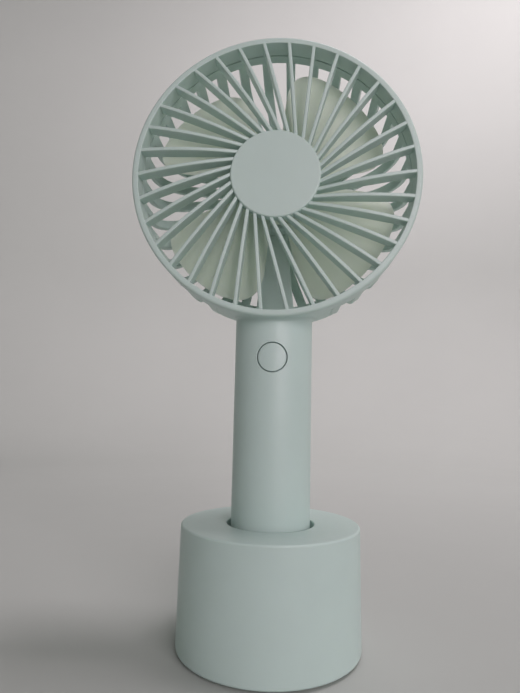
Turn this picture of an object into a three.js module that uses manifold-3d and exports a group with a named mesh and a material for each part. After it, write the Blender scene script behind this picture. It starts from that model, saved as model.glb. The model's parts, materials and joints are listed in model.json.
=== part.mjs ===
// Handheld electric fan standing in its round charging base.
// Millimetres, +Z up, the fan blows towards -Y. The origin is the centre of the base's underside.
import * as THREE from 'three';
import { mergeVertices } from 'three/addons/utils/BufferGeometryUtils.js';
import Module from 'manifold-3d';

const wasm = await Module();
wasm.setup();

// ---------------------------------------------------------------- driving dimensions
const GAP = 0.3;              // air between pieces that do not touch
const FIT = 0.1;              // air between pieces that seat on each other

// base
const BASE_HEIGHT = 40.8;
const BASE_TOP_R = 30.9;
const BASE_FOOT_R = 31.4;
const BASE_WALL = 2.2;
const BASE_TOP_EDGE_R = 0.7;
const BASE_FOOT_EDGE_R = 1;
const SOCKET_PLAY = 1.4;      // air all round the handle at the mouth of the socket
const SOCKET_WALL = 1.6;
const SOCKET_GUIDES = 4;
const SOCKET_GUIDE_DROP = 6;  // top of the guides below the base's top
const PLATE_LEDGE = 1.6;      // the shell's foot reaches this far in, around the plate
const FOOT_SHADOW = 0.7;      // height of the shell's lower edge above the table
const PAD_THICKNESS = 1.2;
const PLATE_THICKNESS = 2.5;
const WEIGHT_THICKNESS = 8;
const BASE_SCREWS = 3;
const BASE_SCREW_R = 1.3;
const BASE_SCREW_HEAD_R = 2.5;
const BOARD_STANDOFF = 2.2;
const BOARD_THICKNESS = 1;
const PIN_HOLDER_HEIGHT = 2.6;
const PIN_R = 0.9;
const PIN_TRAVEL = 0.8;
const PIN_RING_R = 6.2;       // the outer contact's mean radius
const CONTACT_WIDTH = 2.2;
const CONTACT_DISC_R = 2.5;

// USB inlets
const USB_WIDTH = 7.5;
const USB_HEIGHT = 2.8;
const USB_DEPTH = 5.4;
const USB_METAL = 0.35;
const USB_SLOT_MARGIN = 0.5;

// handle
const HANDLE_LENGTH = 99.7;   // lower end of the handle to the lowest point of the head
const HANDLE_R = 13.8;
const HANDLE_WALL = 1.8;
const NECK_FILLET = 1.2;
const CAP_FLANGE = 2;
const CAP_PLUG = 4.5;         // the end cap's spigot inside the handle
const CAP_SCREW_R = 0.9;
const CAP_SCREW_HEAD_R = 1.7;
const CAP_BOSS_TOP_Z = 13;
const BUTTON_DROP = 13.2;     // button centre below the lowest point of the head
const BUTTON_R = 4.85;
const BUTTON_TRAVEL = 0.5;
const BUTTON_SKIN = 1.3;
const BUTTON_LIP = 0.8;
const SWITCH_SIZE = 5.2;
const SWITCH_HEIGHT = 3.1;
const CELL_PADDING = 2.5;     // foam between the cell and the handle's bore

// head
const HEAD_R = 50;
const HEAD_DEPTH = 36;
const HEAD_CORNER_R = 13;
const HEAD_WALL = 1.2;
const BAND_DEPTH = 10;        // solid side of the head, measured from its front face
const RING_WIDTH = 2.25;
const GRILLE_RING_DEPTH = 2;
const HUB_R = 15.7;
const HUB_SINK = 0.5;         // the hub and the ribs stand this far behind the ring
const RIBS = 34;
const RIB_WIDTH = 1.25;
const RIB_DEPTH = 4;
const RIB_ARCH = 1.5;         // a rib's front swells this far beyond a straight line
const RIB_SINK = 0.6;         // the ribs meet the hub this far behind its face
const RIB_OFFSET = 8;         // each rib's line misses the axis by this much
const RIB_TURN = -4.8;        // degrees clockwise from the top, seen from the front
const TWIST = 12;             // degrees that the front grille turns to come free
const REAR_RIB_WIDTH = 3.4;
const REAR_RIB_DEPTH = 2.2;
const REAR_RIB_OFFSET = 4.4;
const REAR_RING_LIP = 1.3;
const TONGUE_MARGIN = 5.26;   // main shell left beside the neck fillet, each side
const TONGUE_WIDTH = 7;
const RIM_WIDTH = 1.5;
const PEG_OFFSET = 1.7;
const PEG_HALF = 1;
const PEG_HEIGHT = 0.6;
const DUCT_WALL = 1.2;
const DUCT_LAP = 0.6;
const DUCT_HALF_TOP = 4;
const DUCT_HALF_FOOT = 8;
const WIRE_HOLE_R = 2.4;

// impeller and motor
const BLADES = 4;
const TIP_CLEARANCE = 2.8;
const IMPELLER_HUB_R = 13;
const BLADE_ANGLE = 69;       // degrees that one blade covers
const BLADE_SHOULDER = 0.6;   // share of a blade's length where its tip begins to round off
const BLADE_START = 6;       // degrees clockwise from the top
const BLADE_THICKNESS = 1.3;
const MOTOR_R = 12.2;
const MOTOR_LENGTH = 12;
const SHAFT_R = 1;
const MOTOR_SCREW_OFFSET = 8.5;
const MOTOR_CAP_THICKNESS = 1.4;
const CUP_WALL = 1.7;
const CUP_FLOOR = 1.6;
const REAR_CAP_THICKNESS = 1.2;
const WIRE_ROOM = 1.9;
const WIRE_R = 0.55;

const HEAD_SEGMENTS = 44;
const ROUND_SEGMENTS = 32;
const SMALL_SEGMENTS = 12;

// ---------------------------------------------------------------- derived dimensions
const PLATE_TOP_Z = FOOT_SHADOW + PLATE_THICKNESS;
const BOARD_Z = PLATE_TOP_Z + BOARD_STANDOFF;
const BOARD_TOP_Z = BOARD_Z + BOARD_THICKNESS;
const SOCKET_UNDERSIDE_Z = BOARD_TOP_Z + PIN_HOLDER_HEIGHT + 2 * FIT;
const SOCKET_FLOOR_Z = SOCKET_UNDERSIDE_Z + SOCKET_WALL;
const SOCKET_R = HANDLE_R + SOCKET_PLAY;
const SOCKET_CUP_R = SOCKET_R + SOCKET_WALL;
const FAN_Z = SOCKET_FLOOR_Z + GAP;
const BORE_R = HANDLE_R - HANDLE_WALL;
const HEAD_Z = HANDLE_LENGTH + HEAD_R;
const FRONT_Y = -HEAD_DEPTH / 2;
const REAR_Y = HEAD_DEPTH / 2;
const CORNER_Y = REAR_Y - HEAD_CORNER_R;
const CORNER_R = HEAD_R - HEAD_CORNER_R;
const BAND_FRONT_Y = FRONT_Y + GRILLE_RING_DEPTH + GAP;
const BAND_REAR_Y = FRONT_Y + BAND_DEPTH - GAP;
const SPIGOT_R = HEAD_R - HEAD_WALL - GAP;
const TONGUE_HALF_ANGLE = THREE.MathUtils.radToDeg(
  Math.asin((HANDLE_R + NECK_FILLET + TONGUE_MARGIN) / HEAD_R));
const TONGUE_END_R = HEAD_R - TONGUE_WIDTH;
const TONGUE_REAR_Y = CORNER_Y + Math.sqrt(HEAD_CORNER_R ** 2 - (TONGUE_END_R - CORNER_R) ** 2);
const OPENING_R = HEAD_R - RING_WIDTH;
const TIP_R = OPENING_R - TIP_CLEARANCE;
const PITCH = 360 / RIBS;

// ---------------------------------------------------------------- making and joining solids
const radians = THREE.MathUtils.degToRad;

function solid(geometry) {
  geometry.deleteAttribute('normal');
  geometry.deleteAttribute('uv');
  const merged = mergeVertices(geometry, 1e-4);
  return new wasm.Manifold(new wasm.Mesh({
    numProp: 3,
    vertProperties: new Float32Array(merged.attributes.position.array),
    triVerts: new Uint32Array(merged.index.array),
  }));
}

function geometryOf(shape) {
  const mesh = shape.getMesh();
  const geometry = new THREE.BufferGeometry();
  geometry.setAttribute('position', new THREE.BufferAttribute(new Float32Array(mesh.vertProperties), 3));
  geometry.setIndex(new THREE.BufferAttribute(new Uint32Array(mesh.triVerts), 1));
  geometry.computeVertexNormals();
  return geometry;
}

function join(first, ...others) {
  return others.reduce((sum, other) => sum.add(other), first);
}

function cut(body, ...tools) {
  return tools.reduce((rest, tool) => rest.subtract(tool), body);
}

function box(x0, x1, y0, y1, z0, z1) {
  const geometry = new THREE.BoxGeometry(x1 - x0, y1 - y0, z1 - z0);
  geometry.translate((x0 + x1) / 2, (y0 + y1) / 2, (z0 + z1) / 2);
  return solid(geometry);
}

// A closed outline of [radius, height] points turned about the Y axis.
function turnedAboutY(outline, segments) {
  const points = outline.map(([r, y]) => new THREE.Vector2(r, y));
  if (THREE.ShapeUtils.isClockWise(points)) {
    points.reverse();
  }
  const onAxis = points.findIndex((p, i) => p.x === 0 && points[(i + 1) % points.length].x === 0);
  if (onAxis >= 0) {
    const turned = [...points.slice(onAxis + 1), ...points.slice(0, onAxis + 1)];
    return new THREE.LatheGeometry(turned, segments);
  }
  return new THREE.LatheGeometry([...points, points[0].clone()], segments);
}

function lathe(outline, segments = ROUND_SEGMENTS) {
  const geometry = turnedAboutY(outline, segments);
  geometry.rotateX(Math.PI / 2);
  return solid(geometry);
}

function headLathe(outline, segments = HEAD_SEGMENTS) {
  return solid(turnedAboutY(outline, segments));
}

function arc(cx, cy, radius, from, to, steps) {
  const points = [];
  for (let i = 0; i <= steps; i += 1) {
    const angle = radians(from + (to - from) * i / steps);
    points.push([cx + radius * Math.cos(angle), cy + radius * Math.sin(angle)]);
  }
  return points;
}

// Round bars along Z and along Y.
function barZ(x, y, radius, z0, z1, segments = SMALL_SEGMENTS) {
  const geometry = new THREE.CylinderGeometry(radius, radius, z1 - z0, segments);
  geometry.rotateX(Math.PI / 2);
  geometry.translate(x, y, (z0 + z1) / 2);
  return solid(geometry);
}

function barY(x, z, radius, y0, y1, segments = SMALL_SEGMENTS) {
  const geometry = new THREE.CylinderGeometry(radius, radius, y1 - y0, segments);
  geometry.translate(x, (y0 + y1) / 2, z);
  return solid(geometry);
}

// An outline of [x, z] points, carried from y0 to y1.
function slabY(outline, y0, y1) {
  const shape = new THREE.Shape(outline.map(([x, z]) => new THREE.Vector2(x, z)));
  const geometry = new THREE.ExtrudeGeometry(shape, { depth: y1 - y0, bevelEnabled: false });
  geometry.rotateX(Math.PI / 2);
  geometry.translate(0, y1, 0);
  return solid(geometry);
}

// Part of a ring about the Y axis; angles run clockwise from the top, seen from the front.
function sector(r0, r1, from, to, y0, y1) {
  const steps = Math.ceil((to - from) / 4);
  const outer = [];
  const inner = [];
  for (let i = 0; i <= steps; i += 1) {
    const angle = radians(from + (to - from) * i / steps);
    outer.push([r1 * Math.sin(angle), r1 * Math.cos(angle)]);
    inner.unshift([r0 * Math.sin(angle), r0 * Math.cos(angle)]);
  }
  return slabY([...outer, ...inner], y0, y1);
}

// Part of a ring about the Z axis; angles run anticlockwise from +X, seen from above.
function sectorZ(r0, r1, from, to, z0, z1) {
  const outline = [...arc(0, 0, r1, from, to, 8), ...arc(0, 0, r0, to, from, 8)];
  const shape = new THREE.Shape(outline.map(([x, y]) => new THREE.Vector2(x, y)));
  const geometry = new THREE.ExtrudeGeometry(shape, { depth: z1 - z0, bevelEnabled: false });
  geometry.translate(0, 0, z0);
  return solid(geometry);
}

function turnedCopy(shape, degreesClockwise) {
  return shape.rotate([0, degreesClockwise, 0]);
}

function warp(geometry, move) {
  const position = geometry.attributes.position;
  const point = new THREE.Vector3();
  for (let i = 0; i < position.count; i += 1) {
    move(point.fromBufferAttribute(position, i));
    position.setXYZ(i, point.x, point.y, point.z);
  }
  return geometry;
}

function wire(points) {
  const section = new THREE.Shape(arc(0, 0, WIRE_R, 0, 300, 5).map(([x, y]) => new THREE.Vector2(x, y)));
  const path = new THREE.CatmullRomCurve3(points.map((p) => new THREE.Vector3(...p)));
  const geometry = new THREE.ExtrudeGeometry(section, { steps: 18, bevelEnabled: false, extrudePath: path });
  return solid(geometry);
}

// ---------------------------------------------------------------- materials
function finish(color, roughness, metalness = 0) {
  return () => new THREE.MeshStandardMaterial({ color, roughness, metalness });
}

const mint = finish(0xbccfc6, 0.5);
const mintLight = finish(0xc6d5ce, 0.5);
const ivory = finish(0xdfe6cf, 0.45);
const steel = finish(0xa2a6aa, 0.35, 1);
const brass = finish(0xc9a45a, 0.35, 1);
const black = finish(0x26282a, 0.6);
const ferrite = finish(0x3b3a3a, 0.7);
const copper = finish(0xb06a3c, 0.4, 1);
const boardGreen = finish(0x2c6a47, 0.6);
const foam = finish(0x4a4c4e, 0.95);
const silicone = finish(0x9db0a8, 0.85);
const cellWrap = finish(0x3f7fa6, 0.4);
const redWire = finish(0xb0302a, 0.5);
const blackWire = finish(0x1f1f21, 0.5);

function piece(name, shape, material) {
  const mesh = new THREE.Mesh(geometryOf(shape), material());
  mesh.name = name;
  return mesh;
}

// ---------------------------------------------------------------- shapes used more than once
// A small USB inlet whose mouth faces +Y and whose underside is at z = 0.
function usbInlet(name) {
  const half = USB_WIDTH / 2;
  const hollow = box(-half + USB_METAL, half - USB_METAL, USB_METAL, USB_DEPTH + 1,
    USB_METAL, USB_HEIGHT - USB_METAL);
  const tongue = box(-half / 2, half / 2, USB_METAL / 2, USB_DEPTH - 1, USB_HEIGHT / 2, USB_HEIGHT / 2 + 0.6);
  const shell = cut(box(-half, half, 0, USB_DEPTH, 0, USB_HEIGHT), hollow);
  return piece(name, join(shell, tongue), steel);
}

// A pan-head screw pointing up from its head, with a cross recess in the head.
function screwShape(headR, headHeight, shankR, length) {
  const head = barZ(0, 0, headR, 0, headHeight);
  const shank = barZ(0, 0, shankR, headHeight / 2, headHeight + length);
  const slot = headR * 0.6;
  const width = headR * 0.14;
  const depth = headHeight * 0.45;
  const cross = join(box(-slot, slot, -width, width, -1, depth), box(-width, width, -slot, slot, -1, depth));
  return cut(join(head, shank), cross);
}

// ---------------------------------------------------------------- base
const PAD_RECESS_Z = PAD_THICKNESS + FIT;
const PLATE_R = BASE_FOOT_R - BASE_WALL - PLATE_LEDGE;
const PAD_R = PLATE_R - 1.6;
const WEIGHT_Z = BOARD_TOP_Z + USB_HEIGHT + 4.8;
const WEIGHT_TOP_Z = WEIGHT_Z + WEIGHT_THICKNESS;
const POST_R = BASE_SCREW_HEAD_R + 1.1;
const POST_CIRCLE_R = (SOCKET_CUP_R + BASE_TOP_R - BASE_WALL) / 2 + 0.8;

function postPlaces() {
  const places = [];
  for (let i = 0; i < BASE_SCREWS; i += 1) {
    const angle = radians(-90 + i * 360 / BASE_SCREWS);
    places.push([POST_CIRCLE_R * Math.cos(angle), POST_CIRCLE_R * Math.sin(angle)]);
  }
  return places;
}

function wallR(z) {
  return BASE_FOOT_R + (BASE_TOP_R - BASE_FOOT_R) * z / BASE_HEIGHT;
}

function baseShell() {
  const footZ = FOOT_SHADOW;
  const innerTopZ = BASE_HEIGHT - BASE_WALL;
  const edgeZ = BASE_HEIGHT - BASE_TOP_EDGE_R;
  const outline = [
    [PLATE_R + GAP, footZ],
    ...arc(BASE_FOOT_R - BASE_FOOT_EDGE_R, footZ + BASE_FOOT_EDGE_R, BASE_FOOT_EDGE_R, -90, 0, 5),
    ...arc(wallR(edgeZ) - BASE_TOP_EDGE_R, edgeZ, BASE_TOP_EDGE_R, 0, 90, 3),
    ...arc(SOCKET_R + 0.4, BASE_HEIGHT - 0.4, 0.4, 90, 180, 2),
    [SOCKET_R, SOCKET_FLOOR_Z],
    [0, SOCKET_FLOOR_Z],
    [0, SOCKET_UNDERSIDE_Z],
    [SOCKET_CUP_R, SOCKET_UNDERSIDE_Z],
    [SOCKET_CUP_R, innerTopZ],
    [wallR(innerTopZ) - BASE_WALL, innerTopZ],
    [wallR(PLATE_TOP_Z) - BASE_WALL, PLATE_TOP_Z + GAP],
    [PLATE_R + GAP, PLATE_TOP_Z + GAP],
  ];
  let shell = lathe(outline);
  for (let i = 0; i < SOCKET_GUIDES; i += 1) {
    const guide = box(HANDLE_R + GAP, SOCKET_R + SOCKET_WALL / 2, -1, 1,
      SOCKET_FLOOR_Z - 0.5, BASE_HEIGHT - SOCKET_GUIDE_DROP);
    shell = shell.add(guide.rotate([0, 0, 45 + i * 360 / SOCKET_GUIDES]));
  }
  for (const [x, y] of postPlaces()) {
    const boss = barZ(x, y, POST_R, WEIGHT_TOP_Z + FIT, innerTopZ + BASE_WALL / 2);
    shell = cut(join(shell, boss), barZ(x, y, BASE_SCREW_R + FIT, WEIGHT_TOP_Z - 1, WEIGHT_TOP_Z + 9));
  }
  const slotHalf = USB_WIDTH / 2 + USB_SLOT_MARGIN;
  const slot = box(-slotHalf, slotHalf, BASE_TOP_R - BASE_WALL - 2, BASE_FOOT_R + 1,
    BOARD_TOP_Z + FIT - USB_SLOT_MARGIN, BOARD_TOP_Z + FIT + USB_HEIGHT + USB_SLOT_MARGIN);
  const pinHoleTop = SOCKET_FLOOR_Z + 1;
  return cut(shell, slot,
    barZ(0, 0, PIN_R + GAP, SOCKET_UNDERSIDE_Z - 1, pinHoleTop),
    barZ(PIN_RING_R, 0, PIN_R + GAP, SOCKET_UNDERSIDE_Z - 1, pinHoleTop));
}

function basePlate() {
  let plate = lathe([
    [0, PAD_RECESS_Z],
    [PAD_R + GAP, PAD_RECESS_Z],
    [PAD_R + GAP, FOOT_SHADOW],
    [PLATE_R, FOOT_SHADOW],
    [PLATE_R, PLATE_TOP_Z],
    [0, PLATE_TOP_Z],
  ]);
  for (const side of [-1, 1]) {
    plate = plate.add(box(side * 6 - 0.8, side * 6 + 0.8, -8, 20, PLATE_TOP_Z - 0.5, BOARD_Z - FIT));
  }
  for (const [x, y] of postPlaces()) {
    const post = barZ(x, y, POST_R, PLATE_TOP_Z - 0.5, WEIGHT_Z - FIT);
    plate = plate.add(post.intersect(barZ(0, 0, PLATE_R, 0, WEIGHT_Z, ROUND_SEGMENTS)));
  }
  for (const [x, y] of postPlaces()) {
    plate = cut(plate,
      barZ(x, y, BASE_SCREW_R + FIT, 0, WEIGHT_Z + 1),
      barZ(x, y, BASE_SCREW_HEAD_R + GAP, 0, PLATE_TOP_Z + 0.4));
  }
  return plate;
}

function counterweight() {
  let ring = lathe([
    [SOCKET_CUP_R + 2 * FIT, WEIGHT_Z],
    [wallR(WEIGHT_Z) - BASE_WALL - 1, WEIGHT_Z],
    [wallR(WEIGHT_Z) - BASE_WALL - 1, WEIGHT_TOP_Z],
    [SOCKET_CUP_R + 2 * FIT, WEIGHT_TOP_Z],
  ]);
  for (const [x, y] of postPlaces()) {
    ring = cut(ring, barZ(x, y, BASE_SCREW_R + GAP, WEIGHT_Z - 1, WEIGHT_TOP_Z + 1));
  }
  return ring;
}

function buildBase() {
  const group = new THREE.Group();
  group.add(piece('base_shell', baseShell(), mint));
  group.add(piece('base_plate', basePlate(), mint));
  group.add(piece('counterweight', counterweight(), steel));

  const pad = lathe([[0, 0], [PAD_R - 0.3, 0], [PAD_R, 0.3], [PAD_R, PAD_THICKNESS], [0, PAD_THICKNESS]]);
  group.add(piece('anti_slip_pad', pad, silicone));

  postPlaces().forEach(([x, y], i) => {
    const screw = piece(`base_screw_${i + 1}`, screwShape(BASE_SCREW_HEAD_R, 1.8, BASE_SCREW_R, 26), steel);
    screw.position.set(x, y, PAD_RECESS_Z + 0.2);
    group.add(screw);
  });

  const usbY = Math.sqrt((wallR(BOARD_Z) - BASE_WALL) ** 2 - (USB_WIDTH / 2) ** 2) - USB_DEPTH - GAP;
  group.add(piece('charge_board', box(-8, 8, -9, usbY + 2.5, BOARD_Z, BOARD_TOP_Z), boardGreen));
  const inlet = usbInlet('base_usb_inlet');
  inlet.position.set(0, usbY, BOARD_TOP_Z + FIT);
  group.add(inlet);

  const holderTopZ = SOCKET_UNDERSIDE_Z - FIT;
  const holder = cut(
    box(-3, PIN_RING_R + 3, -3, 3, BOARD_TOP_Z + FIT, holderTopZ),
    barZ(0, 0, PIN_R + 2 * FIT, BOARD_TOP_Z - 1, holderTopZ + 1),
    barZ(PIN_RING_R, 0, PIN_R + 2 * FIT, BOARD_TOP_Z - 1, holderTopZ + 1));
  group.add(piece('pin_holder', holder, black));

  const pinTopZ = FAN_Z;
  const pinZ = BOARD_TOP_Z + PIN_TRAVEL + GAP;
  const pinLength = pinTopZ - pinZ;
  [0, PIN_RING_R].forEach((x, i) => {
    const tip = PIN_R * 0.5;
    const shape = lathe([[0, 0], [PIN_R, 0], [PIN_R, pinLength - 0.5], [tip, pinLength], [0, pinLength]],
      SMALL_SEGMENTS);
    const pin = piece(i === 0 ? 'contact_pin_centre' : 'contact_pin_outer', shape, brass);
    pin.position.set(x, 0, pinZ);
    group.add(pin);
  });
  return group;
}

// ---------------------------------------------------------------- head housing
// The head's outside, from the band's start to the flat back, set inwards by an amount.
function headVolume(inset, y0) {
  return headLathe([
    [0, y0],
    [HEAD_R - inset, y0],
    ...arc(CORNER_R, CORNER_Y, HEAD_CORNER_R - inset, 0, 90, 4),
    [0, REAR_Y - inset],
  ], RIBS);
}

// The region of the main shell's tongue, which carries the neck; room is air added all round.
function tongueSector(room, y0) {
  const half = TONGUE_HALF_ANGLE + THREE.MathUtils.radToDeg(room / TONGUE_END_R);
  return sector(TONGUE_END_R - room, HEAD_R + 5, 180 - half, 180 + half, y0, REAR_Y + 1);
}

function headRadiusAt(y) {
  const over = Math.max(0, y - CORNER_Y);
  return CORNER_R + Math.sqrt(Math.max(0, HEAD_CORNER_R ** 2 - over ** 2));
}

// Height of the head's underside at (x, y), from the head's centre.
function undersideZ(x, y) {
  return -Math.sqrt(Math.max(0, headRadiusAt(y) ** 2 - x ** 2));
}

// The soft fillet where the handle runs into the underside of the head.
function neckFillet() {
  const reach = HANDLE_R + NECK_FILLET;
  const rings = arc(0, 0, 1, 90, 180, 5).map(([c, s]) => [reach + c * NECK_FILLET, s * NECK_FILLET]);
  const outline = [
    [HANDLE_R - 1, 1],
    [HANDLE_R - 1, -NECK_FILLET],
    ...rings.reverse().map(([r, h]) => [r, h - NECK_FILLET]),
    [reach, 1],
  ];
  const geometry = turnedAboutY(outline, ROUND_SEGMENTS);
  geometry.rotateX(Math.PI / 2);
  warp(geometry, (p) => {
    p.z += undersideZ(p.x, p.y);
  });
  return solid(geometry);
}

const WIRE_HOLE_Y = BORE_R - WIRE_HOLE_R - FIT;
const DUCT_FRONT_Y = WIRE_HOLE_Y - WIRE_HOLE_R + DUCT_LAP - DUCT_WALL;
const PEG_Y = BAND_FRONT_Y + PEG_OFFSET;
const PEG_HALF_ANGLE = THREE.MathUtils.radToDeg(PEG_HALF / HEAD_R);
const PEG_ANGLES = [45, 135, 225, 315];

function mainShell() {
  const band = headLathe([
    [HEAD_R - HEAD_WALL, BAND_FRONT_Y],
    [HEAD_R, BAND_FRONT_Y],
    [HEAD_R, BAND_REAR_Y],
    [HEAD_R - HEAD_WALL, BAND_REAR_Y],
  ]);
  const tongue = cut(headVolume(0, BAND_FRONT_Y), headVolume(HEAD_WALL, BAND_FRONT_Y - 1))
    .intersect(tongueSector(0, BAND_REAR_Y - 1));
  const stem = barZ(0, 0, HANDLE_R, -HEAD_Z + CAP_FLANGE + FIT, -CORNER_R, ROUND_SEGMENTS);
  const fillet = neckFillet().intersect(box(-HEAD_R, HEAD_R, BAND_FRONT_Y, TONGUE_REAR_Y, -HEAD_Z, 0));
  let shell = cut(join(band, tongue, stem, fillet),
    headVolume(HEAD_WALL, FRONT_Y - 5),
    barY(0, 0, TONGUE_END_R, FRONT_Y, REAR_Y + 1, HEAD_SEGMENTS),
    barY(0, 0, HEAD_R + GAP, FRONT_Y - HANDLE_R, BAND_FRONT_Y, HEAD_SEGMENTS));

  const boreTop = -HEAD_R - 3;
  shell = cut(shell,
    barZ(0, 0, BORE_R, -HEAD_Z - 1, boreTop, ROUND_SEGMENTS),
    barZ(0, WIRE_HOLE_Y, WIRE_HOLE_R, boreTop - 1, -CORNER_R, SMALL_SEGMENTS));
  const pegRoom = PEG_HALF_ANGLE + THREE.MathUtils.radToDeg(1.5 * GAP / HEAD_R);
  const trackR = SPIGOT_R + PEG_HEIGHT + GAP;
  for (const angle of PEG_ANGLES) {
    const open = angle - TWIST;
    const track = sector(SPIGOT_R, trackR, open - pegRoom, angle + pegRoom,
      PEG_Y - PEG_HALF - GAP, PEG_Y + PEG_HALF + GAP);
    const entry = sector(SPIGOT_R, trackR, open - pegRoom, open + pegRoom, BAND_FRONT_Y - 1, PEG_Y);
    shell = cut(shell, track, entry);
  }
  shell = cut(shell.translate([0, 0, HEAD_Z]), buttonHole(), handleUsbSlot());
  return join(shell, ...capBosses());
}

// ---------------------------------------------------------------- handle fittings
const BUTTON_Z = HANDLE_LENGTH - BUTTON_DROP;
const BOARD_BELOW_BUTTON = BUTTON_R + GAP + BUTTON_LIP + 0.8;
const HANDLE_BOARD_TOP_Z = BUTTON_Z - BOARD_BELOW_BUTTON;
const HANDLE_BOARD_Z = HANDLE_BOARD_TOP_Z - BOARD_THICKNESS;
const HANDLE_BOARD_R = BORE_R - 0.4;
const SWITCH_BOARD_Y = -BORE_R + 4.4;
const SWITCH_HALF = SWITCH_SIZE / 2;
const CAP_SCREW_CIRCLE_R = BORE_R - CAP_SCREW_HEAD_R - 0.9;

function buttonHole() {
  return barY(0, BUTTON_Z, BUTTON_R + GAP, -HANDLE_R - 1, 0, 32);
}

function handleUsbSlot() {
  const half = USB_WIDTH / 2 + USB_SLOT_MARGIN;
  return box(-half, half, BORE_R - 2, HANDLE_R + 1, HANDLE_BOARD_TOP_Z + FIT - USB_SLOT_MARGIN,
    HANDLE_BOARD_TOP_Z + FIT + USB_HEIGHT + USB_SLOT_MARGIN);
}

function capBosses() {
  return [-1, 1].map((side) => {
    const y = side * CAP_SCREW_CIRCLE_R;
    const boss = barZ(0, y, CAP_SCREW_HEAD_R + 1.1, CAP_FLANGE + FIT, CAP_BOSS_TOP_Z)
      .intersect(barZ(0, 0, HANDLE_R - HANDLE_WALL / 2, 0, CAP_BOSS_TOP_Z, ROUND_SEGMENTS));
    return cut(boss, barZ(0, y, CAP_SCREW_R + FIT, 0, CAP_BOSS_TOP_Z - 1.5));
  });
}

function handleEndCap() {
  const edge = 0.8;
  let cap = lathe([
    [0, 0],
    [HANDLE_R - edge, 0],
    ...arc(HANDLE_R - edge, edge, edge, -60, 0, 2),
    [HANDLE_R, CAP_FLANGE],
    [BORE_R - GAP, CAP_FLANGE],
    [BORE_R - GAP, CAP_FLANGE + CAP_PLUG],
    [BORE_R - 1.6, CAP_FLANGE + CAP_PLUG],
    [BORE_R - 1.6, CAP_FLANGE],
    [0, CAP_FLANGE],
  ]);
  for (const side of [-1, 1]) {
    const y = side * CAP_SCREW_CIRCLE_R;
    cap = cut(cap,
      barZ(0, y, CAP_SCREW_HEAD_R + 1.1 + GAP, CAP_FLANGE, CAP_FLANGE + CAP_PLUG + 1),
      barZ(0, y, CAP_SCREW_R + GAP, -1, CAP_FLANGE + 1),
      barZ(0, y, CAP_SCREW_HEAD_R + FIT, -1, 1.3));
  }
  const half = CONTACT_WIDTH / 2 + FIT;
  const ringRecess = lathe([[PIN_RING_R - half, -1], [PIN_RING_R + half, -1], [PIN_RING_R + half, 1],
    [PIN_RING_R - half, 1]]);
  return cut(cap, ringRecess, barZ(0, 0, CONTACT_DISC_R + FIT, -1, 1, ROUND_SEGMENTS));
}

function buttonCap() {
  const lipR = BUTTON_R + GAP + BUTTON_LIP;
  const face = barY(0, BUTTON_Z, BUTTON_R, -HANDLE_R - 1, -BORE_R + 1.6, 32)
    .intersect(barZ(0, 0, HANDLE_R, BUTTON_Z - 8, BUTTON_Z + 8, ROUND_SEGMENTS));
  const lip = cut(
    barY(0, BUTTON_Z, lipR, -HANDLE_R, 0, 32)
      .intersect(barZ(0, 0, BORE_R - GAP, BUTTON_Z - 8, BUTTON_Z + 8, ROUND_SEGMENTS)),
    barZ(0, 0, BORE_R - GAP - 0.8, BUTTON_Z - 9, BUTTON_Z + 9, ROUND_SEGMENTS));
  return cut(join(face, lip), barY(0, BUTTON_Z, BUTTON_R - 0.8, -HANDLE_R + BUTTON_SKIN, 0, 32));
}

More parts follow.
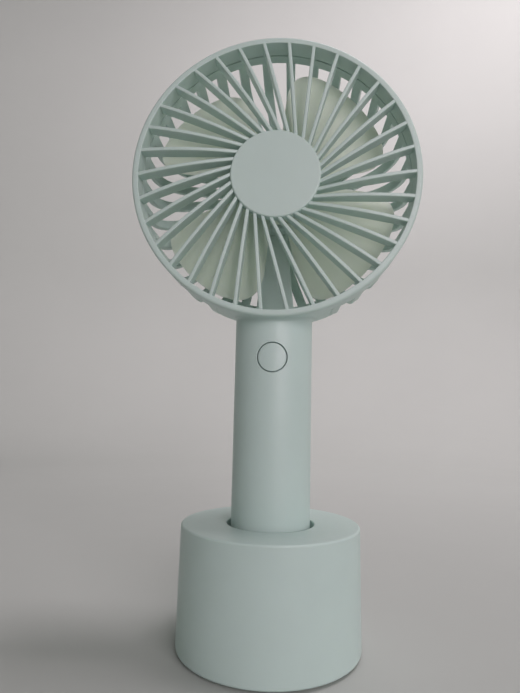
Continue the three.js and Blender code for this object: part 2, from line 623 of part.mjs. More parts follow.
function buildHandle() {
  const group = new THREE.Group();
  group.add(piece('handle_end_cap', handleEndCap(), mint));
  [-1, 1].forEach((side, i) => {
    const screw = piece(`cap_screw_${i + 1}`, screwShape(CAP_SCREW_HEAD_R, 1, CAP_SCREW_R, 8.5), steel);
    screw.position.set(0, side * CAP_SCREW_CIRCLE_R, GAP - FIT);
    group.add(screw);
  });
  const half = CONTACT_WIDTH / 2;
  const outerContact = lathe([[PIN_RING_R - half, 0.3], [PIN_RING_R + half, 0.3], [PIN_RING_R + half, 0.9],
    [PIN_RING_R - half, 0.9]]);
  group.add(piece('contact_ring', outerContact, brass));
  group.add(piece('contact_disc', barZ(0, 0, CONTACT_DISC_R, 0.3, 0.9, ROUND_SEGMENTS), brass));

  const cellR = BORE_R - CELL_PADDING - GAP;
  const cellZ = CAP_BOSS_TOP_Z + 0.6;
  const cellTopZ = HANDLE_BOARD_Z - 0.8;
  const crimp = 1;
  group.add(piece('battery_cell', lathe([
    [0, cellZ],
    [cellR - 0.5, cellZ],
    [cellR, cellZ + 0.5],
    [cellR, cellTopZ - 3.4],
    [cellR - 0.4, cellTopZ - 3],
    [cellR, cellTopZ - 2.6],
    [cellR, cellTopZ - 1],
    [cellR - crimp, cellTopZ - 0.5],
    [3, cellTopZ - 0.5],
    [3, cellTopZ],
    [0, cellTopZ],
  ], 32), cellWrap));
  group.add(piece('positive_tab', box(-2, 2, -2, cellR - 2, cellTopZ + FIT, cellTopZ + 0.3), steel));
  group.add(piece('negative_tab', box(-2, 2, -2, cellR + 0.6, cellZ - 0.4, cellZ - 0.2), steel));
  [0, 180].forEach((turn, i) => {
    const pad = sectorZ(cellR + FIT, BORE_R - FIT, turn - 55, turn + 55, cellZ + 6, cellTopZ - 6);
    group.add(piece(i === 0 ? 'battery_pad_right' : 'battery_pad_left', pad, foam));
  });
  const leadY = (cellR + BORE_R) / 2;
  const lead = wire([[0, leadY, cellZ], [0, leadY, cellZ + 20], [0, leadY, HANDLE_BOARD_Z - 12],
    [0, leadY, HANDLE_BOARD_Z - GAP]]);
  group.add(piece('battery_lead', lead, blackWire));

  const mainBoard = barZ(0, 0, HANDLE_BOARD_R, HANDLE_BOARD_Z, HANDLE_BOARD_TOP_Z, 32);
  group.add(piece('main_board', mainBoard, boardGreen));
  const chip = box(5, 9, -3, 1, HANDLE_BOARD_TOP_Z + FIT, HANDLE_BOARD_TOP_Z + 1.5);
  group.add(piece('control_chip', chip, black));
  const inlet = usbInlet('handle_usb_inlet');
  const mouthY = Math.sqrt(BORE_R ** 2 - (USB_WIDTH / 2) ** 2) - GAP;
  inlet.position.set(0, mouthY - USB_DEPTH, HANDLE_BOARD_TOP_Z + FIT);
  group.add(inlet);

  const switchFrontY = SWITCH_BOARD_Y - FIT - SWITCH_HEIGHT;
  const board = box(-6.5, 6.5, SWITCH_BOARD_Y, SWITCH_BOARD_Y + BOARD_THICKNESS, HANDLE_BOARD_TOP_Z + FIT,
    BUTTON_Z + 6);
  group.add(piece('switch_board', board, boardGreen));
  const plungerR = 1.7;
  const plungerRearY = switchFrontY + 0.6;
  const body = cut(
    box(-SWITCH_HALF, SWITCH_HALF, switchFrontY, SWITCH_BOARD_Y - FIT, BUTTON_Z - SWITCH_HALF,
      BUTTON_Z + SWITCH_HALF),
    barY(0, BUTTON_Z, plungerR + 2 * FIT, switchFrontY - 1, plungerRearY + BUTTON_TRAVEL + 0.2));
  group.add(piece('switch_body', body, black));
  const capInnerY = -HANDLE_R + BUTTON_SKIN;
  group.add(piece('switch_plunger', barY(0, BUTTON_Z, plungerR, capInnerY + FIT, plungerRearY), black));
  group.add(piece('power_button', buttonCap(), mint));
  return group;
}

// ---------------------------------------------------------------- head: grilles
// The space under the ribs' arched fronts: their fronts run from the hub's side to the ring's face.
function ribDome(rearY) {
  const startY = FRONT_Y + HUB_SINK + RIB_SINK;
  const endY = FRONT_Y + 0.05;
  const endR = HEAD_R - RING_WIDTH / 2;
  const fronts = [];
  for (let i = 0; i <= 8; i += 1) {
    const along = i / 8;
    const radius = THREE.MathUtils.lerp(HUB_R, OPENING_R, along);
    const line = THREE.MathUtils.lerp(startY, endY, along);
    fronts.push([radius, line - RIB_ARCH * 4 * along * (1 - along)]);
  }
  return [[0, rearY], [0, startY], ...fronts, [endR, endY], [endR, rearY]];
}

function frontGrille() {
  const front = FRONT_Y;
  const spigotRearY = PEG_Y + PEG_HALF + GAP + 1.5;
  const ringRearY = front + GRILLE_RING_DEPTH;
  let grille = headLathe([
    [OPENING_R, spigotRearY],
    [OPENING_R, front + 0.4],
    [OPENING_R + 0.4, front],
    [HEAD_R - 0.9, front],
    [HEAD_R - 0.3, front + 0.25],
    [HEAD_R, front + 0.9],
    [HEAD_R, ringRearY],
    [SPIGOT_R, ringRearY],
    [SPIGOT_R, spigotRearY],
  ]);
  const faceY = front + HUB_SINK;
  const hubWall = 1.3;
  const hubRearY = faceY + RIB_DEPTH;
  grille = grille.add(headLathe([
    [0, faceY],
    [HUB_R - 0.5, faceY],
    [HUB_R - 0.15, faceY + 0.15],
    [HUB_R, faceY + 0.5],
    [HUB_R, hubRearY],
    [HUB_R - hubWall, hubRearY],
    [HUB_R - hubWall, faceY + 1.6],
    [0, faceY + 1.6],
  ]));
  const inner = Math.sqrt((HUB_R - hubWall / 2) ** 2 - RIB_OFFSET ** 2);
  const outer = Math.sqrt((OPENING_R + 0.5) ** 2 - (RIB_OFFSET + RIB_WIDTH / 2) ** 2);
  const half = RIB_WIDTH / 2;
  const bar = box(RIB_OFFSET - half, RIB_OFFSET + half, front - RIB_ARCH - 1, hubRearY, inner, outer);
  let bars = turnedCopy(bar, RIB_TURN);
  for (let i = 1; i < RIBS; i += 1) {
    bars = bars.add(turnedCopy(bar, RIB_TURN + i * PITCH));
  }
  grille = grille.add(bars.intersect(headLathe(ribDome(hubRearY))));
  for (const angle of PEG_ANGLES) {
    grille = grille.add(sector(SPIGOT_R - 0.3, SPIGOT_R + PEG_HEIGHT,
      angle - PEG_HALF_ANGLE, angle + PEG_HALF_ANGLE, PEG_Y - PEG_HALF, PEG_Y + PEG_HALF));
  }
  return grille;
}

const CUP_R = MOTOR_R + GAP + CUP_WALL;
const CUP_DEPTH = CUP_FLOOR + FIT + MOTOR_LENGTH + MOTOR_CAP_THICKNESS + WIRE_ROOM + REAR_CAP_THICKNESS;
const CUP_FRONT_Y = REAR_Y - CUP_DEPTH;
const MOTOR_FRONT_Y = CUP_FRONT_Y + CUP_FLOOR + FIT;
const REAR_HUB_R = CUP_R + 2;

function ductOutline(shrink, z0, z1) {
  const top = DUCT_HALF_TOP - shrink;
  const foot = DUCT_HALF_FOOT - shrink;
  return [[-top, z0], [-foot, z1], [foot, z1], [top, z0]];
}

function rearGrille() {
  const ringFrontY = FRONT_Y + BAND_DEPTH;
  const skin = cut(headVolume(0, ringFrontY), headVolume(REAR_RIB_DEPTH, ringFrontY - 1));
  const half = REAR_RIB_WIDTH / 2;
  const bar = box(REAR_RIB_OFFSET - half, REAR_RIB_OFFSET + half, ringFrontY, REAR_Y, CUP_R - 1, HEAD_R + 1);
  const phase = 180 - PITCH / 2 - THREE.MathUtils.radToDeg(Math.asin(REAR_RIB_OFFSET / HEAD_R));
  let bars = turnedCopy(bar, phase);
  for (let i = 1; i < RIBS; i += 1) {
    bars = bars.add(turnedCopy(bar, phase + i * PITCH));
  }
  const ribs = cut(skin.intersect(bars), tongueSector(GAP, ringFrontY - 1));
  const rim = cut(skin.intersect(tongueSector(GAP + RIM_WIDTH, TONGUE_REAR_Y - REAR_RIB_DEPTH)),
    tongueSector(GAP, ringFrontY - 1));

  const ring = headLathe([
    [OPENING_R, BAND_REAR_Y - 2.4],
    [SPIGOT_R, BAND_REAR_Y - 2.4],
    [SPIGOT_R, ringFrontY],
    [HEAD_R, ringFrontY],
    [HEAD_R, ringFrontY + REAR_RING_LIP],
    [OPENING_R, ringFrontY + REAR_RING_LIP],
  ]);
  const cup = headLathe([
    [SHAFT_R + 2.4, CUP_FRONT_Y],
    [CUP_R, CUP_FRONT_Y],
    [CUP_R, REAR_Y - REAR_RIB_DEPTH],
    [REAR_HUB_R, REAR_Y - REAR_RIB_DEPTH],
    [REAR_HUB_R, REAR_Y],
    [MOTOR_R + GAP, REAR_Y],
    [MOTOR_R + GAP, CUP_FRONT_Y + CUP_FLOOR],
    [SHAFT_R + 2.4, CUP_FRONT_Y + CUP_FLOOR],
  ], ROUND_SEGMENTS);
  const ductEnd = -HEAD_R - 2;
  const duct = slabY(ductOutline(0, -CUP_R + 1, ductEnd), DUCT_FRONT_Y, REAR_Y)
    .intersect(headVolume(0, CUP_FRONT_Y));
  const ductHollow = slabY(ductOutline(DUCT_WALL, -MOTOR_R + 1, ductEnd - 1), DUCT_FRONT_Y + DUCT_WALL,
    REAR_Y - DUCT_WALL).intersect(headVolume(DUCT_WALL, CUP_FRONT_Y));
  const cupHollow = barY(0, 0, MOTOR_R + GAP, CUP_FRONT_Y + CUP_FLOOR, REAR_Y + 1, ROUND_SEGMENTS);

  const tongueRoom = cut(headVolume(-2, ringFrontY - 4), headVolume(HEAD_WALL + GAP, ringFrontY - 5))
    .intersect(tongueSector(GAP, BAND_REAR_Y - 3));
  const wireExit = box(-2.6, 2.6, MOTOR_FRONT_Y + MOTOR_LENGTH + 1.5, REAR_Y - 1.4, -CUP_R - 1, -MOTOR_R + 1);
  return cut(join(ribs, rim, ring, cup, duct), ductHollow, cupHollow, tongueRoom, wireExit,
    barY(-MOTOR_SCREW_OFFSET, 0, 1.2, CUP_FRONT_Y - 1, CUP_FRONT_Y + CUP_FLOOR + 1),
    barY(MOTOR_SCREW_OFFSET, 0, 1.2, CUP_FRONT_Y - 1, CUP_FRONT_Y + CUP_FLOOR + 1));
}

// ---------------------------------------------------------------- head: impeller
const IMPELLER_FRONT_Y = FRONT_Y + HUB_SINK + RIB_DEPTH + 1.2;
const IMPELLER_REAR_Y = CUP_FRONT_Y - 1.7;

// One blade, bent from a flat slab: x runs along its width, z from root to tip.
function blade() {
  const rootR = IMPELLER_HUB_R - 0.7;
  const shoulderR = rootR + (TIP_R - rootR) * BLADE_SHOULDER;
  const geometry = new THREE.BoxGeometry(1, 1, 1, 8, 1, 5);
  warp(geometry, (p) => {
    const across = 0.5 - 0.5 * Math.cos(Math.PI * (p.x + 0.5));
    const outward = p.z + 0.5;
    const side = Math.abs(2 * across - 1);
    const endR = shoulderR + (TIP_R - shoulderR) * Math.sqrt(1 - side ** 6);
    const radius = rootR + (endR - rootR) * outward;
    const reach = (radius - rootR) / (TIP_R - rootR);
    const angle = radians(BLADE_START + BLADE_ANGLE * across);
    const frontY = THREE.MathUtils.lerp(IMPELLER_FRONT_Y + 2, IMPELLER_FRONT_Y + 4.4, reach);
    const rearY = THREE.MathUtils.lerp(IMPELLER_REAR_Y - 1.2, DUCT_FRONT_Y - 2.4, reach);
    const y = THREE.MathUtils.lerp(frontY, rearY, across) + p.y * BLADE_THICKNESS;
    p.set(radius * Math.sin(angle), y, radius * Math.cos(angle));
  });
  return solid(geometry);
}

function impeller() {
  const wall = 1.4;
  const bossR = SHAFT_R + 1.6;
  let wheel = headLathe([
    [0, IMPELLER_FRONT_Y],
    [IMPELLER_HUB_R - 2, IMPELLER_FRONT_Y],
    ...arc(IMPELLER_HUB_R - 2, IMPELLER_FRONT_Y + 2, 2, -60, 0, 2),
    [IMPELLER_HUB_R, IMPELLER_REAR_Y],
    [IMPELLER_HUB_R - wall, IMPELLER_REAR_Y],
    [IMPELLER_HUB_R - wall, IMPELLER_FRONT_Y + wall],
    [bossR, IMPELLER_FRONT_Y + wall],
    [bossR, IMPELLER_REAR_Y - 1],
    [0, IMPELLER_REAR_Y - 1],
  ], 32);
  const single = blade();
  for (let i = 0; i < BLADES; i += 1) {
    wheel = wheel.add(turnedCopy(single, i * 360 / BLADES));
  }
  const hubInside = headLathe([
    [bossR, IMPELLER_FRONT_Y + wall],
    [IMPELLER_HUB_R - wall, IMPELLER_FRONT_Y + wall],
    [IMPELLER_HUB_R - wall, IMPELLER_REAR_Y],
    [bossR, IMPELLER_REAR_Y],
  ], 32);
  return cut(wheel, hubInside, barY(0, 0, SHAFT_R + FIT, IMPELLER_FRONT_Y + wall, IMPELLER_REAR_Y));
}

// ---------------------------------------------------------------- head: motor
function buildMotor() {
  const group = new THREE.Group();
  const front = MOTOR_FRONT_Y;
  const rear = front + MOTOR_LENGTH;
  const metal = 0.8;
  const bushR = SHAFT_R + 2;
  const can = cut(headLathe([
    [bushR + FIT, front],
    [MOTOR_R, front],
    [MOTOR_R, rear],
    [MOTOR_R - metal, rear],
    [MOTOR_R - metal, front + metal],
    [bushR + FIT, front + metal],
  ], ROUND_SEGMENTS),
  barY(-MOTOR_SCREW_OFFSET, 0, 1, front - 1, front + 2),
  barY(MOTOR_SCREW_OFFSET, 0, 1, front - 1, front + 2));
  group.add(piece('motor_can', can, steel));

  const bush = headLathe([
    [SHAFT_R + FIT, front - 0.8],
    [bushR, front - 0.8],
    [bushR, front + 1.6],
    [SHAFT_R + FIT, front + 1.6],
  ], SMALL_SEGMENTS);
  group.add(piece('motor_front_bush', bush, brass));

  const magnetR = MOTOR_R - metal - FIT;
  [90, 270].forEach((middle, i) => {
    const magnet = sector(magnetR - 1.9, magnetR, middle - 62, middle + 62, front + 2.4, rear - 1);
    group.add(piece(`motor_magnet_${i + 1}`, magnet, ferrite));
  });

  const coreR = magnetR - 1.9 - GAP;
  let rotor = barY(0, 0, coreR, front + 2.8, rear - 2.6, ROUND_SEGMENTS);
  for (let i = 0; i < 3; i += 1) {
    const slot = box(-0.6, 0.6, front, rear, coreR - 4.5, coreR + 1);
    rotor = rotor.subtract(turnedCopy(slot, i * 120));
  }
  rotor = cut(join(rotor, barY(0, 0, 2.6, rear - 3, rear - 0.6)), barY(0, 0, SHAFT_R + FIT, front, rear));
  group.add(piece('motor_rotor', rotor, copper));

  const endCap = headLathe([
    [SHAFT_R + FIT, rear + FIT],
    [MOTOR_R - 0.2, rear + FIT],
    [MOTOR_R - 0.2, rear + MOTOR_CAP_THICKNESS],
    [SHAFT_R + FIT, rear + MOTOR_CAP_THICKNESS],
  ], ROUND_SEGMENTS);
  group.add(piece('motor_end_cap', endCap, black));
  group.add(piece('motor_shaft', barY(0, 0, SHAFT_R, IMPELLER_FRONT_Y + 1.8, rear + 1.2), steel));

  [-1, 1].forEach((side, i) => {
    const screw = piece(`motor_screw_${i + 1}`, screwShape(1.9, 1.1, 0.9, 2.6), steel);
    screw.position.set(side * MOTOR_SCREW_OFFSET, CUP_FRONT_Y - 1.1 - FIT, 0);
    screw.rotation.x = -Math.PI / 2;
    group.add(screw);
  });

  const boardTop = HANDLE_BOARD_TOP_Z - HEAD_Z;
  const wireY = rear + 2.3;
  [-1, 1].forEach((side, i) => {
    const lead = wire([
      [side * 3.6, wireY, -5],
      [side * 1.6, wireY, -CUP_R + 2],
      [side * 1.4, wireY - 0.4, -CUP_R - 3],
      [side * 1.2, (wireY + WIRE_HOLE_Y) / 2, -HEAD_R + 15],
      [side * 1.1, WIRE_HOLE_Y + 0.2, -HEAD_R + 4],
      [side * 1.1, WIRE_HOLE_Y, -HEAD_R - 4],
      [side * 1.1, WIRE_HOLE_Y - 4, -HEAD_R - 10],
      [side * 1.1, WIRE_HOLE_Y - 7, boardTop + 5],
      [side * 1.1, WIRE_HOLE_Y - 7.5, boardTop + GAP],
    ]);
    group.add(piece(i === 0 ? 'motor_lead_black' : 'motor_lead_red', lead, i === 0 ? blackWire : redWire));
  });

  const capFrontY = REAR_Y - REAR_CAP_THICKNESS;
  const rearCap = headLathe([
    [0, capFrontY],
    [MOTOR_R - GAP / 2, capFrontY],
    [MOTOR_R - GAP / 2, REAR_Y - 0.3],
    [MOTOR_R - GAP / 2 - 0.3, REAR_Y],
    [0, REAR_Y],
  ], ROUND_SEGMENTS);
  group.add(piece('rear_cap', rearCap, mint));
  return group;
}

// ---------------------------------------------------------------- the whole object
const fan = new THREE.Group();
fan.position.z = FAN_Z;
fan.add(piece('main_shell', mainShell(), mint));
fan.add(buildHandle());

const head = new THREE.Group();
head.position.z = HEAD_Z;
head.add(piece('rear_grille', rearGrille(), mint));
head.add(piece('front_grille', frontGrille(), mintLight));
head.add(piece('impeller', impeller(), ivory));
head.add(buildMotor());
fan.add(head);

const object = new THREE.Group();
object.add(buildBase());
object.add(fan);

export default object;
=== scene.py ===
import json
import math

import bmesh
import bpy
from mathutils import Euler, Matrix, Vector


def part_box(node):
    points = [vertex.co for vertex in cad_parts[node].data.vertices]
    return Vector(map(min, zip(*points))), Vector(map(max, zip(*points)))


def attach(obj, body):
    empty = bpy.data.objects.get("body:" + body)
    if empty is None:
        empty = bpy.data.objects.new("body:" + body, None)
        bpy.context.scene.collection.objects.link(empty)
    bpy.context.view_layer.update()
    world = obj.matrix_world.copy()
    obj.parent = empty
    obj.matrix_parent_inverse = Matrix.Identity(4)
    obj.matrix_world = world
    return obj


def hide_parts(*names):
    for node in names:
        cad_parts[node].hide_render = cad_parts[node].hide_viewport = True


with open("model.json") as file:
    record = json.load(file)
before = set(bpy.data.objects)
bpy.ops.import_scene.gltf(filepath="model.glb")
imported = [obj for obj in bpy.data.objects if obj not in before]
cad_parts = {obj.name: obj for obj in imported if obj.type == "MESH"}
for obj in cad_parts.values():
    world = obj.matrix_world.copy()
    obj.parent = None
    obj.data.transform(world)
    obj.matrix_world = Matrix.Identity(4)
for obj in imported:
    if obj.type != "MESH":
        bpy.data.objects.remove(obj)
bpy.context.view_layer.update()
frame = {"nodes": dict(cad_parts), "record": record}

MM = 0.001
TURN = 2 * math.pi
ROUND = 192           # sides of a large turned surface
SMALL_ROUND = 96      # sides of a handle-sized turned surface


# ------------------------------------------------------------------ sizes, from the frame
def span(node, axis):
    """Lowest and highest coordinate of a CAD node along an axis, in millimetres."""
    low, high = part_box(node)
    return low[axis] / MM, high[axis] / MM


def width(node, axis=0):
    low, high = span(node, axis)
    return high - low


FIT = 0.1             # air round a piece that is pressed or glued in
GAP = 0.3             # air between two plastic pieces
HEAD_R = width("front_grille") / 2
HEAD_Z = sum(span("front_grille", 2)) / 2
SPIGOT_REAR_Y = span("front_grille", 1)[1]
BAND_FRONT_Y = span("main_shell", 1)[0]
FRONT_Y = BAND_FRONT_Y - 2.3
REAR_RING_FRONT_Y = span("rear_grille", 1)[0]
REAR_Y = span("rear_grille", 1)[1]
IMPELLER_FRONT_Y = span("impeller", 1)[0]
CAP_Z, CAP_PLUG_Z = span("handle_end_cap", 2)
HANDLE_R = width("handle_end_cap") / 2
SHELL_FOOT_Z = span("main_shell", 2)[0]
BUTTON_Z = sum(span("power_button", 2)) / 2
BUTTON_REAR_Y = span("power_button", 1)[1]
BASE_FOOT_R = width("base_shell") / 2
BASE_FOOT_Z, BASE_TOP_Z = span("base_shell", 2)
PLATE_R = width("base_plate") / 2
PAD_R = width("anti_slip_pad") / 2
PAD_TOP_Z = span("anti_slip_pad", 2)[1]
MOTOR_R = width("motor_can") / 2
REAR_CAP_R = width("rear_cap") / 2
REAR_CAP_FRONT_Y = span("rear_cap", 1)[0]
SHAFT_R = width("motor_shaft") / 2
SHAFT_FRONT_Y = span("motor_shaft", 1)[0]

BASE_TOP_R = BASE_FOOT_R - 0.5
BASE_WALL = 2.2
SOCKET_R = HANDLE_R + 1.4
SOCKET_FLOOR_Z = CAP_Z - GAP
SOCKET_WALL = 1.6
BORE_R = HANDLE_R - 1.8
CAP_SCREW_Y = BORE_R - 1.7 - 0.9
CAP_PLATE = 2.0
BOSS_R = 2.8
BOSS_HEIGHT = 13.0
WIRE_HOLE_R = 2.4
CONTACT_RING_WIDTH = 2.4
USB_HALF = 4.25
USB_MARGIN = 0.5
USB_CORNER_R = 1.2
NECK_FILLET = 1.2
BUTTON_R = 4.85
BUTTON_LIP = 0.8
BUTTON_HOLE_FLARE = 0.15
HEAD_WALL = 1.2
HEAD_CORNER_R = 13.0
RING_WIDTH = 2.25
RING_DEPTH = 2.0
BAND_REAR_Y = FRONT_Y + 10 - GAP
SIDE_FRONT_Y = FRONT_Y + 10
OPENING_R = HEAD_R - RING_WIDTH
SPIGOT_R = HEAD_R - HEAD_WALL - GAP
HUB_R = 15.7
HUB_Y = FRONT_Y + 0.5
RIBS = 34
PITCH = 360 / RIBS
RIB_WIDTH = 1.25
RIB_DEPTH = 4.0
RIB_OFFSET = 8.0
RIB_TURN = -4.8
RIB_ARCH = 1.5
RIB_SINK = 0.6
REAR_RIB_WIDTH = 3.4
REAR_RIB_DEPTH = 2.2
REAR_RIB_OFFSET = 4.4
REAR_RING_LIP = 1.3
CORNER_Y = REAR_Y - HEAD_CORNER_R
CORNER_R = HEAD_R - HEAD_CORNER_R
TONGUE_HALF = 23.9
TONGUE_END_R = HEAD_R - 7
TONGUE_REAR_Y = CORNER_Y + math.sqrt(HEAD_CORNER_R ** 2 - (TONGUE_END_R - CORNER_R) ** 2)
RIM_WIDTH = 1.5
CUP_R = MOTOR_R + 2.0
CUP_FRONT_Y = span("motor_can", 1)[0] - 1.7
CUP_FLOOR = 1.6
REAR_HUB_R = CUP_R + 2
SHAFT_BOSS_R = SHAFT_R + 2.4
MOTOR_SCREW_X = 8.5
MOTOR_SCREW_HOLE_R = 1.2
DUCT_TOP_HALF = 4.0
DUCT_FOOT_HALF = 8.0
DUCT_FRONT_Y = 6.5
DUCT_WALL = 1.2
PEGS = (45, 135, 225, 315)   # degrees clockwise from the top
PEG_Y = BAND_FRONT_Y + 1.7
PEG_HALF = 1.0
PEG_HEIGHT = 0.6
TWIST = 12            # degrees that the front cover turns
BLADES = 4
BLADE_START = 6       # degrees from the top to the first blade's front edge
BLADE_ANGLE = 69      # degrees that a blade spans
BLADE_SHOULDER = 0.6  # share of the blade's length where its rounded end begins
BLADE_THICKNESS = 1.3
TIP_R = OPENING_R - 2.8
IMPELLER_HUB_R = 13.0
IMPELLER_REAR_Y = CUP_FRONT_Y - 1.7
IMPELLER_WALL = 1.4
SOCKET_RIBS = 4
SOCKET_RIB_HALF = 1.0

FLOOR_R = 0.62        # the studio, in metres
WALL_R = 1.0
WALL_TOP = 1.7


# ------------------------------------------------------------------ mesh building
def rounded(corners, steps=6):
    """Closed outline of (a, b) points from (a, b, radius) corners, each rounded by an arc."""
    points = []
    for i, (a, b, radius) in enumerate(corners):
        here = Vector((a, b))
        if not radius:
            points.append((a, b))
            continue
        before = (Vector(corners[i - 1][:2]) - here).normalized()
        after = (Vector(corners[(i + 1) % len(corners)][:2]) - here).normalized()
        half = before.angle(after) / 2
        centre = here + (before + after).normalized() * (radius / math.sin(half))
        start = here + before * (radius / math.tan(half)) - centre
        end = here + after * (radius / math.tan(half)) - centre
        first = math.atan2(start.y, start.x)
        sweep = (math.atan2(end.y, end.x) - first + math.pi) % TURN - math.pi
        for k in range(steps + 1):
            angle = first + sweep * k / steps
            points.append((centre.x + radius * math.cos(angle), centre.y + radius * math.sin(angle)))
    return points


def arc(a, b, radius, start, end, steps):
    """Points along an arc about (a, b), between two angles in degrees."""
    angles = [math.radians(start + (end - start) * k / steps) for k in range(steps + 1)]
    return [(a + radius * math.cos(t), b + radius * math.sin(t)) for t in angles]


def bridge(bm, first, second):
    """Faces between two rings of vertices, either of which may be a single point."""
    count = max(len(first), len(second))
    if count == 1:
        return
    for k in range(count):
        corners = (first[k % len(first)], first[(k + 1) % len(first)],
                   second[(k + 1) % len(second)], second[k % len(second)])
        bm.faces.new(list(dict.fromkeys(corners)))


def finish_mesh(bm, name):
    """An object made from the faces built so far, all facing outwards."""
    bmesh.ops.recalc_face_normals(bm, faces=bm.faces)
    mesh = bpy.data.meshes.new(name)
    bm.to_mesh(mesh)
    bm.free()
    made = bpy.data.objects.new(name, mesh)
    bpy.context.scene.collection.objects.link(made)
    return made


def ring_of(bm, points):
    """New vertices at points given in millimetres."""
    return [bm.verts.new(Vector(p) * MM) for p in points]


def turned(outline, axis="Z", sides=ROUND, name="turned", shape=None):
    """A closed outline of (radius, height) points turned about the Z axis or the head's own Y axis."""
    bm = bmesh.new()
    rings = []
    for radius, height in outline:
        count = sides if radius > 1e-6 else 1
        points = []
        for k in range(count):
            angle = TURN * k / sides
            if axis == "Z":
                point = (radius * math.cos(angle), radius * math.sin(angle), height)
            else:
                point = (radius * math.sin(angle), height, HEAD_Z + radius * math.cos(angle))
            points.append(shape(point) if shape else point)
        rings.append(ring_of(bm, points))
    for first, second in zip(rings, rings[1:] + rings[:1]):
        bridge(bm, first, second)
    return finish_mesh(bm, name)


def lofted(sections, name="lofted"):
    """A closed body through equal rings of points; each body in the list is its own list of rings."""
    bm = bmesh.new()
    for rings in sections:
        made = [ring_of(bm, ring) for ring in rings]
        for first, second in zip(made, made[1:]):
            bridge(bm, first, second)
        for end in (made[0], made[-1]):
            if len(end) > 1:
                bm.faces.new(end)
    return finish_mesh(bm, name)


def clockwise(point, degrees):
    """A point turned about the head's axis, clockwise as seen from the front."""
    x, y, z = point
    c, s = math.cos(math.radians(degrees)), math.sin(math.radians(degrees))
    return (x * c + (z - HEAD_Z) * s, y, HEAD_Z - x * s + (z - HEAD_Z) * c)


def combine(target, tool, operation):
    """Joins, cuts or crosses two closed bodies, and keeps one clean closed body."""
    modifier = target.modifiers.new("combine", "BOOLEAN")
    modifier.operation = operation
    modifier.solver = "MANIFOLD"
    modifier.object = tool
    graph = bpy.context.evaluated_depsgraph_get()
    mesh = bpy.data.meshes.new_from_object(target.evaluated_get(graph))
    target.modifiers.clear()
    target.data = mesh
    bpy.data.objects.remove(tool)
    return target


def join(target, *tools):
    for tool in tools:
        combine(target, tool, "UNION")
    return target


def cut(target, *tools):
    for tool in tools:
        combine(target, tool, "DIFFERENCE")
    return target


def cross(target, tool):
    return combine(target, tool, "INTERSECT")


def moved(piece, x, y):
    for vertex in piece.data.vertices:
        vertex.co += Vector((x, y, 0)) * MM
    return piece


def prism_y(outline, y0, y1):
    """An outline of (x, z) points about the head's centre, carried from y0 to y1."""
    return lofted([[[(x, y, HEAD_Z + z) for x, z in outline] for y in (y0, y1)]])


def sector(r0, r1, start, end, y0, y1, step=1.0):
    """Part of a ring about the head's axis; angles run clockwise from the top."""
    count = max(2, math.ceil((end - start) / step))
    angles = [math.radians(start + (end - start) * k / count) for k in range(count + 1)]
    outer = [(r1 * math.sin(t), r1 * math.cos(t)) for t in angles]
    inner = [(r0 * math.sin(t), r0 * math.cos(t)) for t in reversed(angles)]
    return prism_y(outer + inner, y0, y1)


def rod_z(x, y, radius, z0, z1, sides=SMALL_ROUND):
    return moved(turned([(0, z0), (radius, z0), (radius, z1), (0, z1)], "Z", sides), x, y)


def rod_y(z, radius, y0, y1):
    rings = [[(radius * math.sin(TURN * k / SMALL_ROUND), y, z + radius * math.cos(TURN * k / SMALL_ROUND))
              for k in range(SMALL_ROUND)] for y in (y0, y1)]
    return lofted([rings])


def slot_y(half_width, z0, z1, radius, y0, y1):
    """A flat slot along Y with rounded corners."""
    outline = rounded([(-half_width, z0, radius), (half_width, z0, radius),
                       (half_width, z1, radius), (-half_width, z1, radius)])
    return lofted([[[(x, y, z) for x, z in outline] for y in (y0, y1)]])


def usb_slot(inlet, y0, y1):
    """The opening in a wall in front of a CAD inlet."""
    low, high = span(inlet, 2)
    return slot_y(USB_HALF, low - USB_MARGIN, high + USB_MARGIN, USB_CORNER_R, y0, y1)


def shade(piece, angle=32):
    """Smooth faces with sharp edges kept, and normals that follow the large faces."""
    mesh = piece.data
    mesh.shade_smooth()
    mesh.set_sharp_from_angle(angle=math.radians(angle))
    weighted = piece.modifiers.new("normals", "WEIGHTED_NORMAL")
    weighted.keep_sharp = True
    weighted.weight = 80


def place(piece, name, body, node):
    """Names a finished piece, gives it its look and puts it in a CAD node's place."""
    piece.name = name
    piece.data.name = name
    piece.data.materials.clear()
    piece.data.materials.append(looks[node_slots[node]])
    shade(piece)
    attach(piece, body)
    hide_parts(node)


# ------------------------------------------------------------------ materials
def nodes_of(name):
    """A new material, with its tree, its shader and the point in the object's own space."""
    material = bpy.data.materials.new(name)
    material.use_nodes = True
    tree = material.node_tree
    shader = tree.nodes["Principled BSDF"]
    coordinates = tree.nodes.new("ShaderNodeTexCoord")
    return material, tree, shader, coordinates.outputs["Object"]


def noise(tree, where, scale, detail=3.0, roughness=0.5):
    node = tree.nodes.new("ShaderNodeTexNoise")
    node.inputs["Scale"].default_value = scale
    node.inputs["Detail"].default_value = detail
    node.inputs["Roughness"].default_value = roughness
    tree.links.new(where, node.inputs["Vector"])
    return node.outputs["Fac"]


def ramp(tree, value, stops):
    node = tree.nodes.new("ShaderNodeValToRGB")
    while len(node.color_ramp.elements) < len(stops):
        node.color_ramp.elements.new(0.5)
    for element, (position, colour) in zip(node.color_ramp.elements, stops):
        element.position = position
        element.color = (*colour, 1)
    tree.links.new(value, node.inputs["Fac"])
    return node.outputs["Color"]


def spread(tree, value, low, high):
    """The middle of a noise's range, stretched from a low to a high value."""
    node = tree.nodes.new("ShaderNodeMapRange")
    node.inputs["From Min"].default_value = 0.3
    node.inputs["From Max"].default_value = 0.7
    node.inputs["To Min"].default_value = low
    node.inputs["To Max"].default_value = high
    tree.links.new(value, node.inputs["Value"])
    return node.outputs["Result"]


